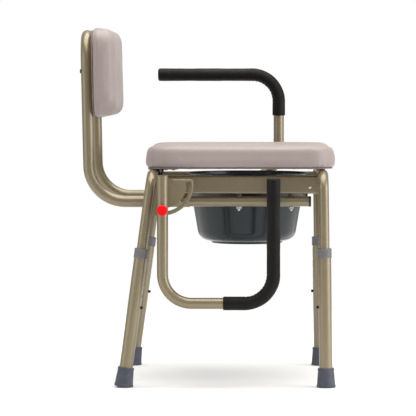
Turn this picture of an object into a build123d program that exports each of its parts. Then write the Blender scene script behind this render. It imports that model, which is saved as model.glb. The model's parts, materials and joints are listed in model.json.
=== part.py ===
from build123d import *
import os
from math import cos, pi, radians, sin

# A drop-arm commode chair. It faces +X with +Z up; the sitter's left is +Y.
# The origin is on the floor, under the middle of the chair's box. The left arm is raised and
# locked; the right arm is dropped and locked. All sizes are in millimetres.
os.makedirs("parts", exist_ok=True)

# ---------------------------------------------------------------- driving dimensions
SIDES = {"left": 1, "right": -1}
SHEET = 2.0                    # pressed steel sheet of the rails
TUBE_WALL = 1.2

# Leg frames: inverted U tubes, with outer lower tubes that slide on them.
LEG_SPACING = 480.0            # across the chair, between the leg centre lines
LEG_TUBE = 22.2                # 7/8 in tube
LEG_BEND = 40.0
CROSS_HEIGHT = 457.0           # centre of the cross tubes under the seat
# At each end: where the leg's centre line meets its foot (x, z) and how far its top leans forward.
LEG_ENDS = {
    "front": (256.8, -0.3, radians(-0.81)),
    "rear": (-179.7, 1.4, radians(7.65)),
}
BUTTON_SIDE = {"front": -1, "rear": 1}   # snap buttons face the middle of the chair
UPPER_TUBE_END = 150.0         # along the leg, from the foot
LOWER_TUBE = 28.6              # 1 1/8 in sleeve
LOWER_TUBE_TOP = 298.0
BUTTON_HEIGHT = 173.3          # lowest hole along the leg
HOLE_PITCH = 25.4
HOLE_COUNT = 5
HOLE_RADIUS = 4.0
DRAIN_HEIGHT = 133.0
DRAIN_RADIUS = 2.5
FOOT_HEIGHT = 42.0
FOOT_SOLE = 6.0                # rubber under the tube
FOOT_BASE_RADIUS = 20.5
FOOT_TOP_RADIUS = 17.0
FOOT_BASE_BAND = 5.0           # straight part above the floor
FOOT_CHAMFER = 2.0
COLLAR_RADIUS = 15.6
COLLAR_BASE = 279.6
COLLAR_TOP = 300.0
BUSH_BASE = 281.0              # the bush ends above the top adjusting hole
COLLAR_CHAMFER = 1.5
SLIDE_GAP = 0.06               # running clearance of the collar on the upper tube
BUTTON_RADIUS = 3.2
BUTTON_TRAVEL = 4.6            # how far a snap button stands proud of the lower tube
BUTTON_FLANGE_RADIUS = 5.0
BUTTON_FLANGE_FACE = 8.4       # from the leg's centre line
BUTTON_FLANGE = 1.0
BUTTON_DOME = 1.8
LEAF = 0.6                     # thickness of the snap springs
LEAF_WIDTH = 7.0
LEAF_LENGTH = 42.0
LEAF_REST = -8.6               # where the spring lies on the tube's far wall
LEAF_HALF_SEAT = 4.0
LEAF_TAIL = 8.0

# Rails between the cross tubes: a folded channel above, a round tube hung under it.
RAIL_OUTER = 175.0             # outer face of the channel, from the middle
RAIL_TOP = 453.0
RAIL_BASE = 414.5
RAIL_SHELF = 40.5              # width of the top flange that carries the bucket
RAIL_LIP = 22.0
LOWER_RAIL_Y = 165.0           # centre of the lower rail tubes, from the middle
LOWER_RAIL_HEIGHT = 397.5
LOWER_RAIL_SPAN = (-140.0, 220.5)
PLUG_LENGTH = 5.0
PLUG_LIP = 0.4
RAIL_BOLT_X = (69.0, 182.0)
RAIL_BOLT_RADIUS = 3.0
RAIL_OVERLAP = 6.0             # channel past the cross tubes' centres, coped round them
BOLT_HEAD = 4.0
NUT_RADIUS = 5.0               # half across the flats
NUT_THICK = 5.0
BOLT_POINT = 9.5               # bolt below the lower rail
BOLT_CHAMFER = 2.0

# Drop arms and their lock.
PIVOT = (-94.8, 437.5)         # x, z of the arm pivot
LOCK_RADIUS = 55.0             # from the pivot to the lock pin
ARM_PLANE = 262.7              # middle of the arm tube, from the middle of the chair
ARM_TUBE = 24.0
ARM_WALL = 1.5
ARM_BEND = 62.0
ARM_STUB = 18.0                # tube past the pivot
ARM_DROP = 255.0               # pivot to the lower run
ARM_REACH = 237.7              # post to grip
ARM_TUBE_RISE = 263.0          # lower run to the tube's end inside the grip
GRIP_RADIUS = 14.6
GRIP_STARTS = {"left": 95.0, "right": 108.0}    # before the corner
GRIP_RISES = {"left": 281.0, "right": 268.5}    # lower run to the grip's end
PLATE_FACE = 246.0             # outer face of the lock plate
PLATE_THICK = 3.0
PLATE_RADIUS = 67.0
PLATE_TOP = 12.0               # above the pivot
PLATE_REAR = (-117.0, -130.0)  # x of its rear edge, at the top and at the bottom
PLATE_CORNER = 5.0
SLOT_WIDTH = 7.0
LOCK_HOLE_RADIUS = 6.0
PIN_COLLAR_RADIUS = 5.7
PIN_RADIUS = 3.0
PIN_TIP = 242.0
PIN_COLLAR_END = 247.0
PRESS_TRAVEL = 6.0
CAP_RADIUS = 11.5
CAP_THICK = 6.5
CAP_FACE = 288.0               # outer face of the red button
STEM_RADIUS = 5.0
STEM_END = 270.0
PIVOT_BOLT_RADIUS = 4.0
BUSH_RADIUS = 6.0
BUSH_FLANGE_RADIUS = 10.0
RUN_GAP = 0.3                  # play beside the arm's bush and round the lock pin
PIVOT_HEAD_RADIUS = 7.0
PIVOT_HEAD = 4.0
PIVOT_HEAD_STEP = 4.6          # pivot bolt's head from the arm tube's inner side
PIVOT_NUT_RADIUS = 6.5
PIVOT_NUT = 6.0
CAP_ROUNDING = 2.5
ARM_CAP_LID = 1.6
ARM_CAP_PLUG = 1.9
GRIP_NOSE = 4.0
SPRING_STEP = 3.6              # lock spring from the arm tube's inner side

# Back.
BACK_TUBE = 25.4
BACK_X = -262.1                # centre of the uprights at the height of the back's middle
BACK_MIDDLE = 677.0
BACK_LEAN = radians(1.25)
BACK_TUBE_TOP = 758.5
BACK_TUBE_FRONT = -38.0        # where the back tube ends over the lower rail
BACK_BOLT_X = -62.0
BACK_BENDS = (79.0, 60.0, 60.0, 79.0)
BACK_CUSHION = (400.0, 194.0, 53.0)
BACK_CORNER = 42.0
BACK_SCREW_HEIGHT = 4.0        # above the back's middle
BACK_FRONT_EDGE = 18.0
BACK_REAR_EDGE = 5.0
SCREW_RADIUS = 2.5
SCREW_HEAD_RADIUS = 5.2
SCREW_HEAD = 2.4
BACK_BOLT_HEAD = 3.5

# Seat, hinged on the rear cross tube.
SEAT_BASE = 470.0
SEAT_THICK = 49.0
SEAT_SPAN = (-134.0, 277.0)
SEAT_WIDTH = 450.0
SEAT_CORNER = 55.0
SEAT_EDGE = 14.0
SEAT_LOWER_EDGE = 4.0
BOARD_THICK = 9.0
BOARD_INSET = 11.0
CLAMP_RADIUS = 15.0
CLAMP_WIDTH = 30.0
CLAMP_Y = 110.0
CLAMP_FOOT_END = -66.0
CLAMP_FOOT_THICK = 4.5
CLAMP_MOUTH = 17.0             # rear opening that snaps over the cross tube
CLAMP_SCREW_X = (-92.0, -75.0)
CLAMP_SCREW_RADIUS = 4.2
CLAMP_SCREW_HEAD = 2.4
CLAMP_SCREW_ROUNDING = 1.6
BUMPER_Y = 150.0
BUMPER_RADIUS = 8.0
BUMPER_GAP = 0.2

# Bucket.
BUCKET_X = 86.0
OPENING_RADII = (128.0, 105.0)
BUCKET_WALL = 2.6
BUCKET_GAP = 0.3               # rim above the channels' top flanges
BUCKET_RIM = 3.0               # thickness of the rim
BUCKET_RIM_RADIUS = 142.0
BUCKET_NECK = (132.0, 449.0)   # radius and height of the wall's top
BUCKET_HEEL = (106.0, 304.6)   # radius and height where wall and floor would meet
BUCKET_HEEL_ROUNDING = 26.0
BUCKET_FLOOR = 304.0
FOOT_RING = (72.0, 78.5, 299.0)    # inner and outer radius, and height of its underside


# ---------------------------------------------------------------- helpers
def save(piece, label):
    """Label a finished piece and write its file."""
    piece.part.label = label
    export_step(piece.part, f"parts/{label}.step")


def leg_plane(end, side):
    """Plane at a foot: Z up the leg's centre line, X square to it towards the front."""
    x, z, lean = LEG_ENDS[end]
    return Plane(
        origin=(x, SIDES[side] * LEG_SPACING / 2, z),
        x_dir=(cos(lean), 0, -sin(lean)),
        z_dir=(sin(lean), 0, cos(lean)),
    )


def button_plane(end, side, height):
    """Plane on the leg's centre line, facing the way the snap button points."""
    leg = leg_plane(end, side)
    return Plane(
        origin=leg.origin + leg.z_dir * height,
        x_dir=leg.z_dir,
        z_dir=leg.x_dir * BUTTON_SIDE[end],
    )


def cross_point(end):
    """x of the cross tube's centre, and its distance from the foot along the leg."""
    x, z, lean = LEG_ENDS[end]
    reach = (CROSS_HEIGHT - z) / cos(lean)
    return x + reach * sin(lean), reach


def station(x, side):
    """Plane across the chair at x: its X runs outwards on that side, its Y upwards."""
    return Plane(origin=(x, 0, 0), x_dir=(0, SIDES[side], 0), z_dir=(SIDES[side], 0, 0))


def flank(side, distance):
    """Upright plane along the chair, at a distance outwards from the middle: X forwards, Y up."""
    return Plane(origin=(0, SIDES[side] * distance, 0), x_dir=(1, 0, 0), z_dir=(0, -1, 0))


def peg(side, centre, radius, start, end, mode=Mode.ADD):
    """A round length across the chair between two distances from the middle, on one side."""
    with BuildSketch(flank(side, start)) as disc:
        with Locations(centre):
            Circle(radius)
    extrude(disc.sketch, amount=-SIDES[side] * (end - start), mode=mode)


def ring_section(path, outer, inner):
    """Ring at the start of a path, square to it; a full disc if inner is 0."""
    with BuildSketch(Plane(origin=path.line @ 0, z_dir=path.line % 0)) as ring:
        Circle(outer)
        if inner:
            Circle(inner, mode=Mode.SUBTRACT)
    return ring.sketch


# ---------------------------------------------------------------- leg frames
def leg_tube(end, bore):
    """Inverted U: the upper tubes of two legs and the cross tube that joins them; solid if bore is 0."""
    lean = LEG_ENDS[end][2]
    top_x, reach = cross_point(end)
    top = Plane(origin=(top_x, 0, CROSS_HEIGHT), x_dir=(0, 1, 0), z_dir=(cos(lean), 0, -sin(lean)))
    half, drop = LEG_SPACING / 2, reach - UPPER_TUBE_END
    with BuildPart() as tube:
        with BuildLine(top) as path:
            FilletPolyline((-half, -drop), (-half, 0), (half, 0), (half, -drop), radius=LEG_BEND)
        sweep(ring_section(path, LEG_TUBE / 2, bore))
    return tube.part


def leg_frame(end):
    """Leg tube with a hole for the snap button in each leg."""
    with BuildPart() as frame:
        add(leg_tube(end, LEG_TUBE / 2 - TUBE_WALL))
        for side in SIDES:
            with BuildSketch(button_plane(end, side, BUTTON_HEIGHT)):
                Circle(HOLE_RADIUS)
            extrude(amount=LEG_TUBE, mode=Mode.SUBTRACT)
    return frame


# The space that each leg frame fills, to cope what is welded to it.
FRAME_SPACE = {end: leg_tube(end, 0) for end in LEG_ENDS}
for end in LEG_ENDS:
    save(leg_frame(end), f"{end}_frame")


# ---------------------------------------------------------------- adjustable lower legs
def lower_leg(end, side):
    """Outer tube with its row of adjusting holes and one drain hole on its inner side."""
    with BuildPart() as tube:
        with BuildSketch(leg_plane(end, side).offset(FOOT_SOLE)):
            Circle(LOWER_TUBE / 2)
            Circle(LOWER_TUBE / 2 - TUBE_WALL, mode=Mode.SUBTRACT)
        extrude(amount=LOWER_TUBE_TOP - FOOT_SOLE)
        for hole in range(HOLE_COUNT):
            with BuildSketch(button_plane(end, side, BUTTON_HEIGHT + hole * HOLE_PITCH)):
                Circle(HOLE_RADIUS)
            extrude(amount=LOWER_TUBE, mode=Mode.SUBTRACT)
        leg = leg_plane(end, side)
        drain = Plane(origin=leg.origin + leg.z_dir * DRAIN_HEIGHT, z_dir=(0, -SIDES[side], 0))
        with BuildSketch(drain):
            Circle(DRAIN_RADIUS)
        extrude(amount=LOWER_TUBE, mode=Mode.SUBTRACT)
    return tube


def turned(plane, points):
    """Solid of revolution about a plane's Z axis, from (radius, height) points."""
    profile_plane = Plane(origin=plane.origin, x_dir=plane.x_dir, z_dir=-plane.y_dir)
    with BuildPart() as solid:
        with BuildSketch(profile_plane):
            with BuildLine():
                Polyline(*points, close=True)
            make_face()
        revolve(axis=Axis(plane.origin, plane.z_dir))
    return solid


def collar(end, side):
    """Plastic collar round the lower tube's mouth, with a bush down inside it."""
    outer, bore = LOWER_TUBE / 2, LEG_TUBE / 2 + SLIDE_GAP
    inner = outer - TUBE_WALL
    return turned(leg_plane(end, side), [
        (bore, BUSH_BASE), (inner, BUSH_BASE), (inner, LOWER_TUBE_TOP), (outer, LOWER_TUBE_TOP),
        (outer, COLLAR_BASE), (COLLAR_RADIUS, COLLAR_BASE), (COLLAR_RADIUS, COLLAR_TOP - COLLAR_CHAMFER),
        (COLLAR_RADIUS - COLLAR_CHAMFER, COLLAR_TOP), (bore, COLLAR_TOP),
    ])


def foot(end, side):
    """Tapered rubber ferrule, worn flat where it stands on the floor."""
    tube = LOWER_TUBE / 2
    ferrule = turned(leg_plane(end, side), [
        (0, 0), (FOOT_BASE_RADIUS, 0), (FOOT_BASE_RADIUS, FOOT_BASE_BAND),
        (FOOT_TOP_RADIUS, FOOT_HEIGHT - FOOT_CHAMFER), (FOOT_TOP_RADIUS - FOOT_CHAMFER, FOOT_HEIGHT),
        (tube, FOOT_HEIGHT), (tube, FOOT_SOLE), (0, FOOT_SOLE),
    ])
    with BuildPart() as trimmed:
        add(ferrule.part)
        split(bisect_by=Plane.XY, keep=Keep.TOP)
    return trimmed


def snap_button(end, side):
    """Domed steel button with a flange that stays inside the upper tube."""
    reach = LOWER_TUBE / 2 + BUTTON_TRAVEL
    with BuildPart() as button:
        with BuildSketch(button_plane(end, side, BUTTON_HEIGHT).offset(BUTTON_FLANGE_FACE - BUTTON_FLANGE)):
            Circle(BUTTON_FLANGE_RADIUS)
        extrude(amount=BUTTON_FLANGE)
        with BuildSketch(button_plane(end, side, BUTTON_HEIGHT).offset(BUTTON_FLANGE_FACE)):
            Circle(BUTTON_RADIUS)
        extrude(amount=reach - BUTTON_FLANGE_FACE)
        tip = button_plane(end, side, BUTTON_HEIGHT).offset(reach).origin
        fillet(button.edges().filter_by(GeomType.CIRCLE).sort_by_distance(tip)[0], BUTTON_DOME)
    return button


def snap_springs():
    """Folded leaf springs inside the upper tubes, one behind each snap button."""
    front, half = BUTTON_FLANGE_FACE - BUTTON_FLANGE, LEAF_HALF_SEAT
    with BuildPart() as springs:
        for end in LEG_ENDS:
            for side in SIDES:
                seat = button_plane(end, side, BUTTON_HEIGHT)
                flat = Plane(origin=seat.origin, x_dir=seat.z_dir, z_dir=seat.y_dir)
                up = 1 if flat.y_dir.Z > 0 else -1
                with BuildSketch(flat.offset(-LEAF_WIDTH / 2)):
                    with BuildLine():
                        Polyline(
                            (front, up * half), (front, -up * half), (LEAF_REST, -up * LEAF_LENGTH),
                            (LEAF_REST, up * LEAF_TAIL), (LEAF_REST + LEAF, up * LEAF_TAIL),
                            (LEAF_REST + LEAF, -up * (LEAF_LENGTH - LEAF_TAIL * LEAF)),
                            (front - LEAF, -up * half), (front - LEAF, up * half), close=True)
                    make_face()
                extrude(amount=LEAF_WIDTH)
    return springs


for end in LEG_ENDS:
    for side in SIDES:
        save(lower_leg(end, side), f"{end}_{side}_lower_leg")
        save(collar(end, side), f"{end}_{side}_collar")
        save(foot(end, side), f"{end}_{side}_foot")
        save(snap_button(end, side), f"{end}_{side}_snap_button")
save(snap_springs(), "snap_springs")


# ---------------------------------------------------------------- rails under the seat
REAR_X, FRONT_X = cross_point("rear")[0], cross_point("front")[0]


def seat_rail(side):
    """Folded channel, coped under both cross tubes; its top flange carries the bucket."""
    start, length = REAR_X - RAIL_OVERLAP, FRONT_X - REAR_X + 2 * RAIL_OVERLAP
    inner_top, inner_base = RAIL_OUTER - RAIL_SHELF, RAIL_OUTER - RAIL_LIP
    with BuildPart() as rail:
        with BuildSketch(station(start, side)) as section:
            with BuildLine():
                Polyline(
                    (inner_top, RAIL_TOP), (RAIL_OUTER, RAIL_TOP), (RAIL_OUTER, RAIL_BASE),
                    (inner_base, RAIL_BASE), (inner_base, RAIL_BASE + SHEET),
                    (RAIL_OUTER - SHEET, RAIL_BASE + SHEET), (RAIL_OUTER - SHEET, RAIL_TOP - SHEET),
                    (inner_top, RAIL_TOP - SHEET), close=True)
            make_face()
            fillet(section.vertices().group_by(Axis.X)[-2], SHEET)
            fillet(section.vertices().group_by(Axis.X)[-1], 2 * SHEET)
        extrude(amount=SIDES[side] * length)
        for space in FRAME_SPACE.values():
            add(space, mode=Mode.SUBTRACT)
        with BuildSketch(Plane.XY.offset(RAIL_BASE)):
            with Locations(*[(x, SIDES[side] * LOWER_RAIL_Y) for x in RAIL_BOLT_X]):
                Circle(RAIL_BOLT_RADIUS)
        extrude(amount=SHEET, mode=Mode.SUBTRACT)
    return rail


def lower_rail(side):
    """Round tube hung under the channel; the back frame slides over its rear end."""
    start, end = LOWER_RAIL_SPAN
    with BuildPart() as rail:
        with BuildSketch(station(start, side)):
            with Locations((LOWER_RAIL_Y, LOWER_RAIL_HEIGHT)):
                Circle(LEG_TUBE / 2)
                Circle(LEG_TUBE / 2 - TUBE_WALL, mode=Mode.SUBTRACT)
        extrude(amount=SIDES[side] * (end - start))
        with BuildSketch(Plane.XY.offset(LOWER_RAIL_HEIGHT - LEG_TUBE)):
            with Locations(*[(x, SIDES[side] * LOWER_RAIL_Y) for x in RAIL_BOLT_X]):
                Circle(RAIL_BOLT_RADIUS)
        extrude(amount=2 * LEG_TUBE, mode=Mode.SUBTRACT)
        peg(side, (BACK_BOLT_X, LOWER_RAIL_HEIGHT), RAIL_BOLT_RADIUS, LOWER_RAIL_Y - BACK_TUBE,
            LOWER_RAIL_Y + BACK_TUBE, Mode.SUBTRACT)
    return rail


def rail_plugs():
    """Black plastic caps on the front ends of the lower rails."""
    with BuildPart() as plugs:
        for side in SIDES:
            with BuildSketch(station(LOWER_RAIL_SPAN[1], side)):
                with Locations((LOWER_RAIL_Y, LOWER_RAIL_HEIGHT)):
                    Circle(LEG_TUBE / 2 + PLUG_LIP)
            extrude(amount=SIDES[side] * PLUG_LENGTH)
            with BuildSketch(station(LOWER_RAIL_SPAN[1], side)):
                with Locations((LOWER_RAIL_Y, LOWER_RAIL_HEIGHT)):
                    Circle(LEG_TUBE / 2 - TUBE_WALL)
            extrude(amount=-SIDES[side] * 2 * PLUG_LENGTH)
    return plugs


TUBE_CROWN = LOWER_RAIL_HEIGHT + LEG_TUBE / 2
TUBE_KEEL = LOWER_RAIL_HEIGHT - LEG_TUBE / 2
BOLT_SPOTS = [(x, SIDES[side] * LOWER_RAIL_Y) for x in RAIL_BOLT_X for side in SIDES]


def rail_bolts():
    """Hexagon bolts from the channel's lower flange down through the lower rail."""
    with BuildPart() as bolts:
        with BuildSketch(Plane.XY.offset(RAIL_BASE + SHEET)):
            with Locations(*BOLT_SPOTS):
                RegularPolygon(NUT_RADIUS, 6, major_radius=False)
        extrude(amount=BOLT_HEAD)
        with BuildSketch(Plane.XY.offset(TUBE_KEEL - BOLT_POINT)):
            with Locations(*BOLT_SPOTS):
                Circle(RAIL_BOLT_RADIUS)
        extrude(amount=RAIL_BASE + SHEET - TUBE_KEEL + BOLT_POINT)
        chamfer(bolts.edges().group_by(Axis.Z)[0], BOLT_CHAMFER)
    return bolts


def rail_spacers():
    """Plain sleeves that hold the lower rail off the channel."""
    with BuildPart() as spacers:
        with BuildSketch(Plane.XY.offset(TUBE_CROWN)):
            with Locations(*BOLT_SPOTS):
                Circle(2 * RAIL_BOLT_RADIUS)
                Circle(RAIL_BOLT_RADIUS, mode=Mode.SUBTRACT)
        extrude(amount=RAIL_BASE - TUBE_CROWN)
    return spacers


def rail_nuts():
    """Zinc-plated nuts under the lower rails."""
    with BuildPart() as nuts:
        with BuildSketch(Plane.XY.offset(TUBE_KEEL - NUT_THICK)):
            with Locations(*BOLT_SPOTS):
                RegularPolygon(NUT_RADIUS, 6, major_radius=False)
                Circle(RAIL_BOLT_RADIUS, mode=Mode.SUBTRACT)
        extrude(amount=NUT_THICK)
    return nuts


for side in SIDES:
    save(seat_rail(side), f"{side}_seat_rail")
    save(lower_rail(side), f"{side}_lower_rail")
save(rail_plugs(), "rail_plugs")
save(rail_bolts(), "rail_bolts")
save(rail_spacers(), "rail_spacers")
save(rail_nuts(), "rail_nuts")


# ---------------------------------------------------------------- arm lock plates and pivots
def lock_plate(side):
    """Quadrant welded to the rear leg, with a keyhole slot that holds the arm up or down."""
    px, pz = PIVOT
    shoulder = (PLATE_RADIUS ** 2 - PLATE_TOP ** 2) ** 0.5
    rear_top, rear_base = PLATE_REAR
    with BuildPart() as plate:
        with BuildSketch(flank(side, PLATE_FACE - PLATE_THICK)) as outline:
            with BuildLine():
                arc_start, arc_end = (px + shoulder, pz + PLATE_TOP), (px, pz - PLATE_RADIUS)
                middle = (px + PLATE_RADIUS * cos(pi / 4), pz - PLATE_RADIUS * sin(pi / 4))
                Polyline(arc_end, (rear_base, arc_end[1]), (rear_top, arc_start[1]), arc_start)
                ThreePointArc(arc_start, middle, arc_end)
            make_face()
            fillet(outline.vertices().sort_by(Axis.X)[-1], PLATE_CORNER)
            with BuildLine():
                outer = CenterArc(PIVOT, LOCK_RADIUS + SLOT_WIDTH / 2, -90, 90)
                inner = CenterArc(PIVOT, LOCK_RADIUS - SLOT_WIDTH / 2, -90, 90)
                Line(outer @ 0, inner @ 0)
                Line(outer @ 1, inner @ 1)
            make_face(mode=Mode.SUBTRACT)
            with Locations((px + LOCK_RADIUS, pz), (px, pz - LOCK_RADIUS)):
                Circle(LOCK_HOLE_RADIUS, mode=Mode.SUBTRACT)
            with Locations(PIVOT):
                Circle(PIVOT_BOLT_RADIUS, mode=Mode.SUBTRACT)
        extrude(amount=-SIDES[side] * PLATE_THICK)
        add(FRAME_SPACE["rear"], mode=Mode.SUBTRACT)
    return plate


TUBE_FACE = ARM_PLANE - ARM_TUBE / 2          # inner side of the arm tube
HEAD_START = TUBE_FACE + PIVOT_HEAD_STEP                  # pivot bolt's head, inside the arm tube


def pivot_bolts():
    """Bolts that the arms turn on; their heads lie inside the arm tubes."""
    with BuildPart() as bolts:
        for side in SIDES:
            peg(side, PIVOT, PIVOT_BOLT_RADIUS, PLATE_FACE - PLATE_THICK - PIVOT_NUT - 1, HEAD_START)
            peg(side, PIVOT, PIVOT_HEAD_RADIUS, HEAD_START, HEAD_START + PIVOT_HEAD)
    return bolts


def pivot_nuts():
    """Locking nuts behind the lock plates."""
    back = PLATE_FACE - PLATE_THICK
    with BuildPart() as nuts:
        for side in SIDES:
            with BuildSketch(flank(side, back - PIVOT_NUT)):
                with Locations(PIVOT):
                    RegularPolygon(PIVOT_NUT_RADIUS, 6, major_radius=False)
                    Circle(PIVOT_BOLT_RADIUS, mode=Mode.SUBTRACT)
            extrude(amount=-SIDES[side] * PIVOT_NUT)
    return nuts


def pivot_bush(side):
    """Nylon bush in the arm tube's inner wall, flanged to run against the lock plate."""
    with BuildPart() as bush:
        peg(side, PIVOT, BUSH_FLANGE_RADIUS, PLATE_FACE + RUN_GAP, TUBE_FACE)
        peg(side, PIVOT, BUSH_RADIUS, TUBE_FACE, HEAD_START - RUN_GAP)
        peg(side, PIVOT, PIVOT_BOLT_RADIUS + SLIDE_GAP, PLATE_FACE, HEAD_START, Mode.SUBTRACT)
    return bush


for side in SIDES:
    save(lock_plate(side), f"{side}_lock_plate")
    save(pivot_bush(side), f"{side}_pivot_bush")
save(pivot_bolts(), "pivot_bolts")
save(pivot_nuts(), "pivot_nuts")


# ---------------------------------------------------------------- drop arms
RAISED = {"left": True, "right": False}


def arm_point(side, forward, up):
    """x, z of a point given from the pivot as the dropped arm has it; a raised arm is turned up."""
    if RAISED[side]:
        forward, up = -up, forward
    return (PIVOT[0] + forward, PIVOT[1] + up)


def arm_run(side, points, radius, bore):
    """Tube along an arm's route, given from the pivot as the dropped arm has it."""
    with BuildPart() as run:
        with BuildLine(flank(side, ARM_PLANE)) as path:
            FilletPolyline(*[arm_point(side, *p) for p in points], radius=ARM_BEND)
        sweep(ring_section(path, radius, bore))
    return run


def arm_tube(side):
    """Bent arm tube with holes for the pivot bush and the lock pin."""
    route = [
        (0, ARM_STUB), (0, -ARM_DROP), (ARM_REACH, -ARM_DROP), (ARM_REACH, ARM_TUBE_RISE - ARM_DROP),
    ]
    lock = arm_point(side, 0, -LOCK_RADIUS)
    with BuildPart() as tube:
        add(arm_run(side, route, ARM_TUBE / 2, ARM_TUBE / 2 - ARM_WALL).part)
        peg(side, PIVOT, BUSH_RADIUS, PLATE_FACE, ARM_PLANE, Mode.SUBTRACT)
        peg(side, lock, PIN_RADIUS + RUN_GAP, PLATE_FACE, ARM_PLANE, Mode.SUBTRACT)
        peg(side, lock, STEM_RADIUS + RUN_GAP, ARM_PLANE, CAP_FACE, Mode.SUBTRACT)
    return tube


def arm_grip(side):
    """Foam sleeve over the corner and the end of the arm, closed at its end."""
    start = ARM_REACH - GRIP_STARTS[side]
    rise = GRIP_RISES[side] - ARM_DROP
    corner = (ARM_REACH, -ARM_DROP)
    end = arm_point(side, ARM_REACH, rise)
    with BuildPart() as grip:
        add(arm_run(side, [(start, -ARM_DROP), corner, (ARM_REACH, rise)], GRIP_RADIUS, 0).part)
        fillet(grip.edges().filter_by(GeomType.CIRCLE).sort_by_distance(
            flank(side, ARM_PLANE).from_local_coords(Vector(*end, 0)))[0], GRIP_NOSE)
        route = [(start, -ARM_DROP), corner, (ARM_REACH, ARM_TUBE_RISE - ARM_DROP)]
        add(arm_run(side, route, ARM_TUBE / 2, 0).part, mode=Mode.SUBTRACT)
    return grip


def arm_cap(side):
    """Plastic plug in the open end of the arm tube above the pivot."""
    plane = flank(side, ARM_PLANE)
    mouth, beyond = (
        plane.from_local_coords(Vector(*arm_point(side, 0, reach), 0)) for reach in (ARM_STUB, ARM_STUB + 1))
    with BuildPart() as cap:
        with BuildSketch(Plane(origin=mouth, z_dir=beyond - mouth)):
            Circle(ARM_TUBE / 2 - RUN_GAP)
        extrude(amount=ARM_CAP_LID)
        with BuildSketch(Plane(origin=mouth, z_dir=mouth - beyond)):
            Circle(ARM_TUBE / 2 - ARM_WALL)
        extrude(amount=ARM_CAP_PLUG)
    return cap


def lock_button(side):
    """Red mushroom button; its stem slides through the tube's outer wall."""
    lock = arm_point(side, 0, -LOCK_RADIUS)
    with BuildPart() as button:
        peg(side, lock, STEM_RADIUS, STEM_END, CAP_FACE - CAP_THICK)
        peg(side, lock, CAP_RADIUS, CAP_FACE - CAP_THICK, CAP_FACE)
        outer_rim = button.edges().filter_by(GeomType.CIRCLE).sort_by(Axis.Y, reverse=SIDES[side] > 0)[0]
        fillet(outer_rim, CAP_ROUNDING)
        peg(side, lock, PIN_RADIUS, STEM_END, CAP_FACE - CAP_THICK, Mode.SUBTRACT)
    return button


def lock_pin(side):
    """Steel pin: its collar fills the plate's hole, its neck passes along the slot when pressed."""
    lock = arm_point(side, 0, -LOCK_RADIUS)
    with BuildPart() as pin:
        peg(side, lock, PIN_COLLAR_RADIUS, PIN_TIP, PIN_COLLAR_END)
        peg(side, lock, PIN_RADIUS, PIN_COLLAR_END, CAP_FACE - CAP_THICK)
    return pin


def lock_spring(side):
    """Return spring round the pin, inside the arm tube, as a plain sleeve."""
    lock = arm_point(side, 0, -LOCK_RADIUS)
    with BuildPart() as spring:
        peg(side, lock, STEM_RADIUS, TUBE_FACE + SPRING_STEP, STEM_END)
        peg(side, lock, PIN_RADIUS + 2 * RUN_GAP, TUBE_FACE, STEM_END + 1, Mode.SUBTRACT)
    return spring


for side in SIDES:
    save(arm_tube(side), f"{side}_arm_tube")
    save(arm_grip(side), f"{side}_arm_grip")
    save(arm_cap(side), f"{side}_arm_cap")
    save(lock_button(side), f"{side}_lock_button")
    save(lock_pin(side), f"{side}_lock_pin")
    save(lock_spring(side), f"{side}_lock_spring")


# ---------------------------------------------------------------- back
def back_x(height):
    """x of the uprights' centre line at a height."""
    return BACK_X - (height - BACK_MIDDLE) * sin(BACK_LEAN) / cos(BACK_LEAN)


def back_frame():
    """One tube: forward runs over the lower rails, up, and across behind the cushion."""
    low, high = LOWER_RAIL_HEIGHT, BACK_TUBE_TOP
    corners = [(BACK_TUBE_FRONT, low), (back_x(low), low), (back_x(high), high)]
    route = [(x, LOWER_RAIL_Y, z) for x, z in corners]
    route += [(x, -LOWER_RAIL_Y, z) for x, z in reversed(corners)]
    with BuildPart() as frame:
        with BuildLine() as path:
            FilletPolyline(*route, radius=BACK_BENDS)
        sweep(ring_section(path, BACK_TUBE / 2, BACK_TUBE / 2 - TUBE_WALL))
        for side in SIDES:
            peg(side, (BACK_BOLT_X, LOWER_RAIL_HEIGHT), RAIL_BOLT_RADIUS, LOWER_RAIL_Y - BACK_TUBE,
                LOWER_RAIL_Y + BACK_TUBE, Mode.SUBTRACT)
            with BuildSketch(back_plane(side, -BACK_TUBE)):
                Circle(SCREW_RADIUS)
            extrude(amount=2 * BACK_TUBE, mode=Mode.SUBTRACT)
    return frame


def back_plane(side=None, forward=0.0):
    """Leaning plane square to the uprights, facing forwards, at the back screws or the middle."""
    facing = Vector(cos(BACK_LEAN), 0, sin(BACK_LEAN))
    up = Vector(-sin(BACK_LEAN), 0, cos(BACK_LEAN))
    origin = Vector(BACK_X, 0, BACK_MIDDLE) + facing * forward
    if side:
        origin += Vector(0, SIDES[side] * LOWER_RAIL_Y, 0) + up * BACK_SCREW_HEIGHT
    return Plane(origin=origin, x_dir=(0, 1, 0), z_dir=facing)


def back_board():
    """Plywood board let into the rear of the cushion, against the uprights."""
    width, height, _ = BACK_CUSHION
    with BuildPart() as board:
        with BuildSketch(back_plane(forward=BACK_TUBE / 2)):
            RectangleRounded(width - 2 * BOARD_INSET, height - 2 * BOARD_INSET, BACK_CORNER - BOARD_INSET)
        extrude(amount=BOARD_THICK)
        for side in SIDES:
            with BuildSketch(back_plane(side, 0)):
                Circle(SCREW_RADIUS)
            extrude(amount=BACK_TUBE, mode=Mode.SUBTRACT)
    return board


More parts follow.
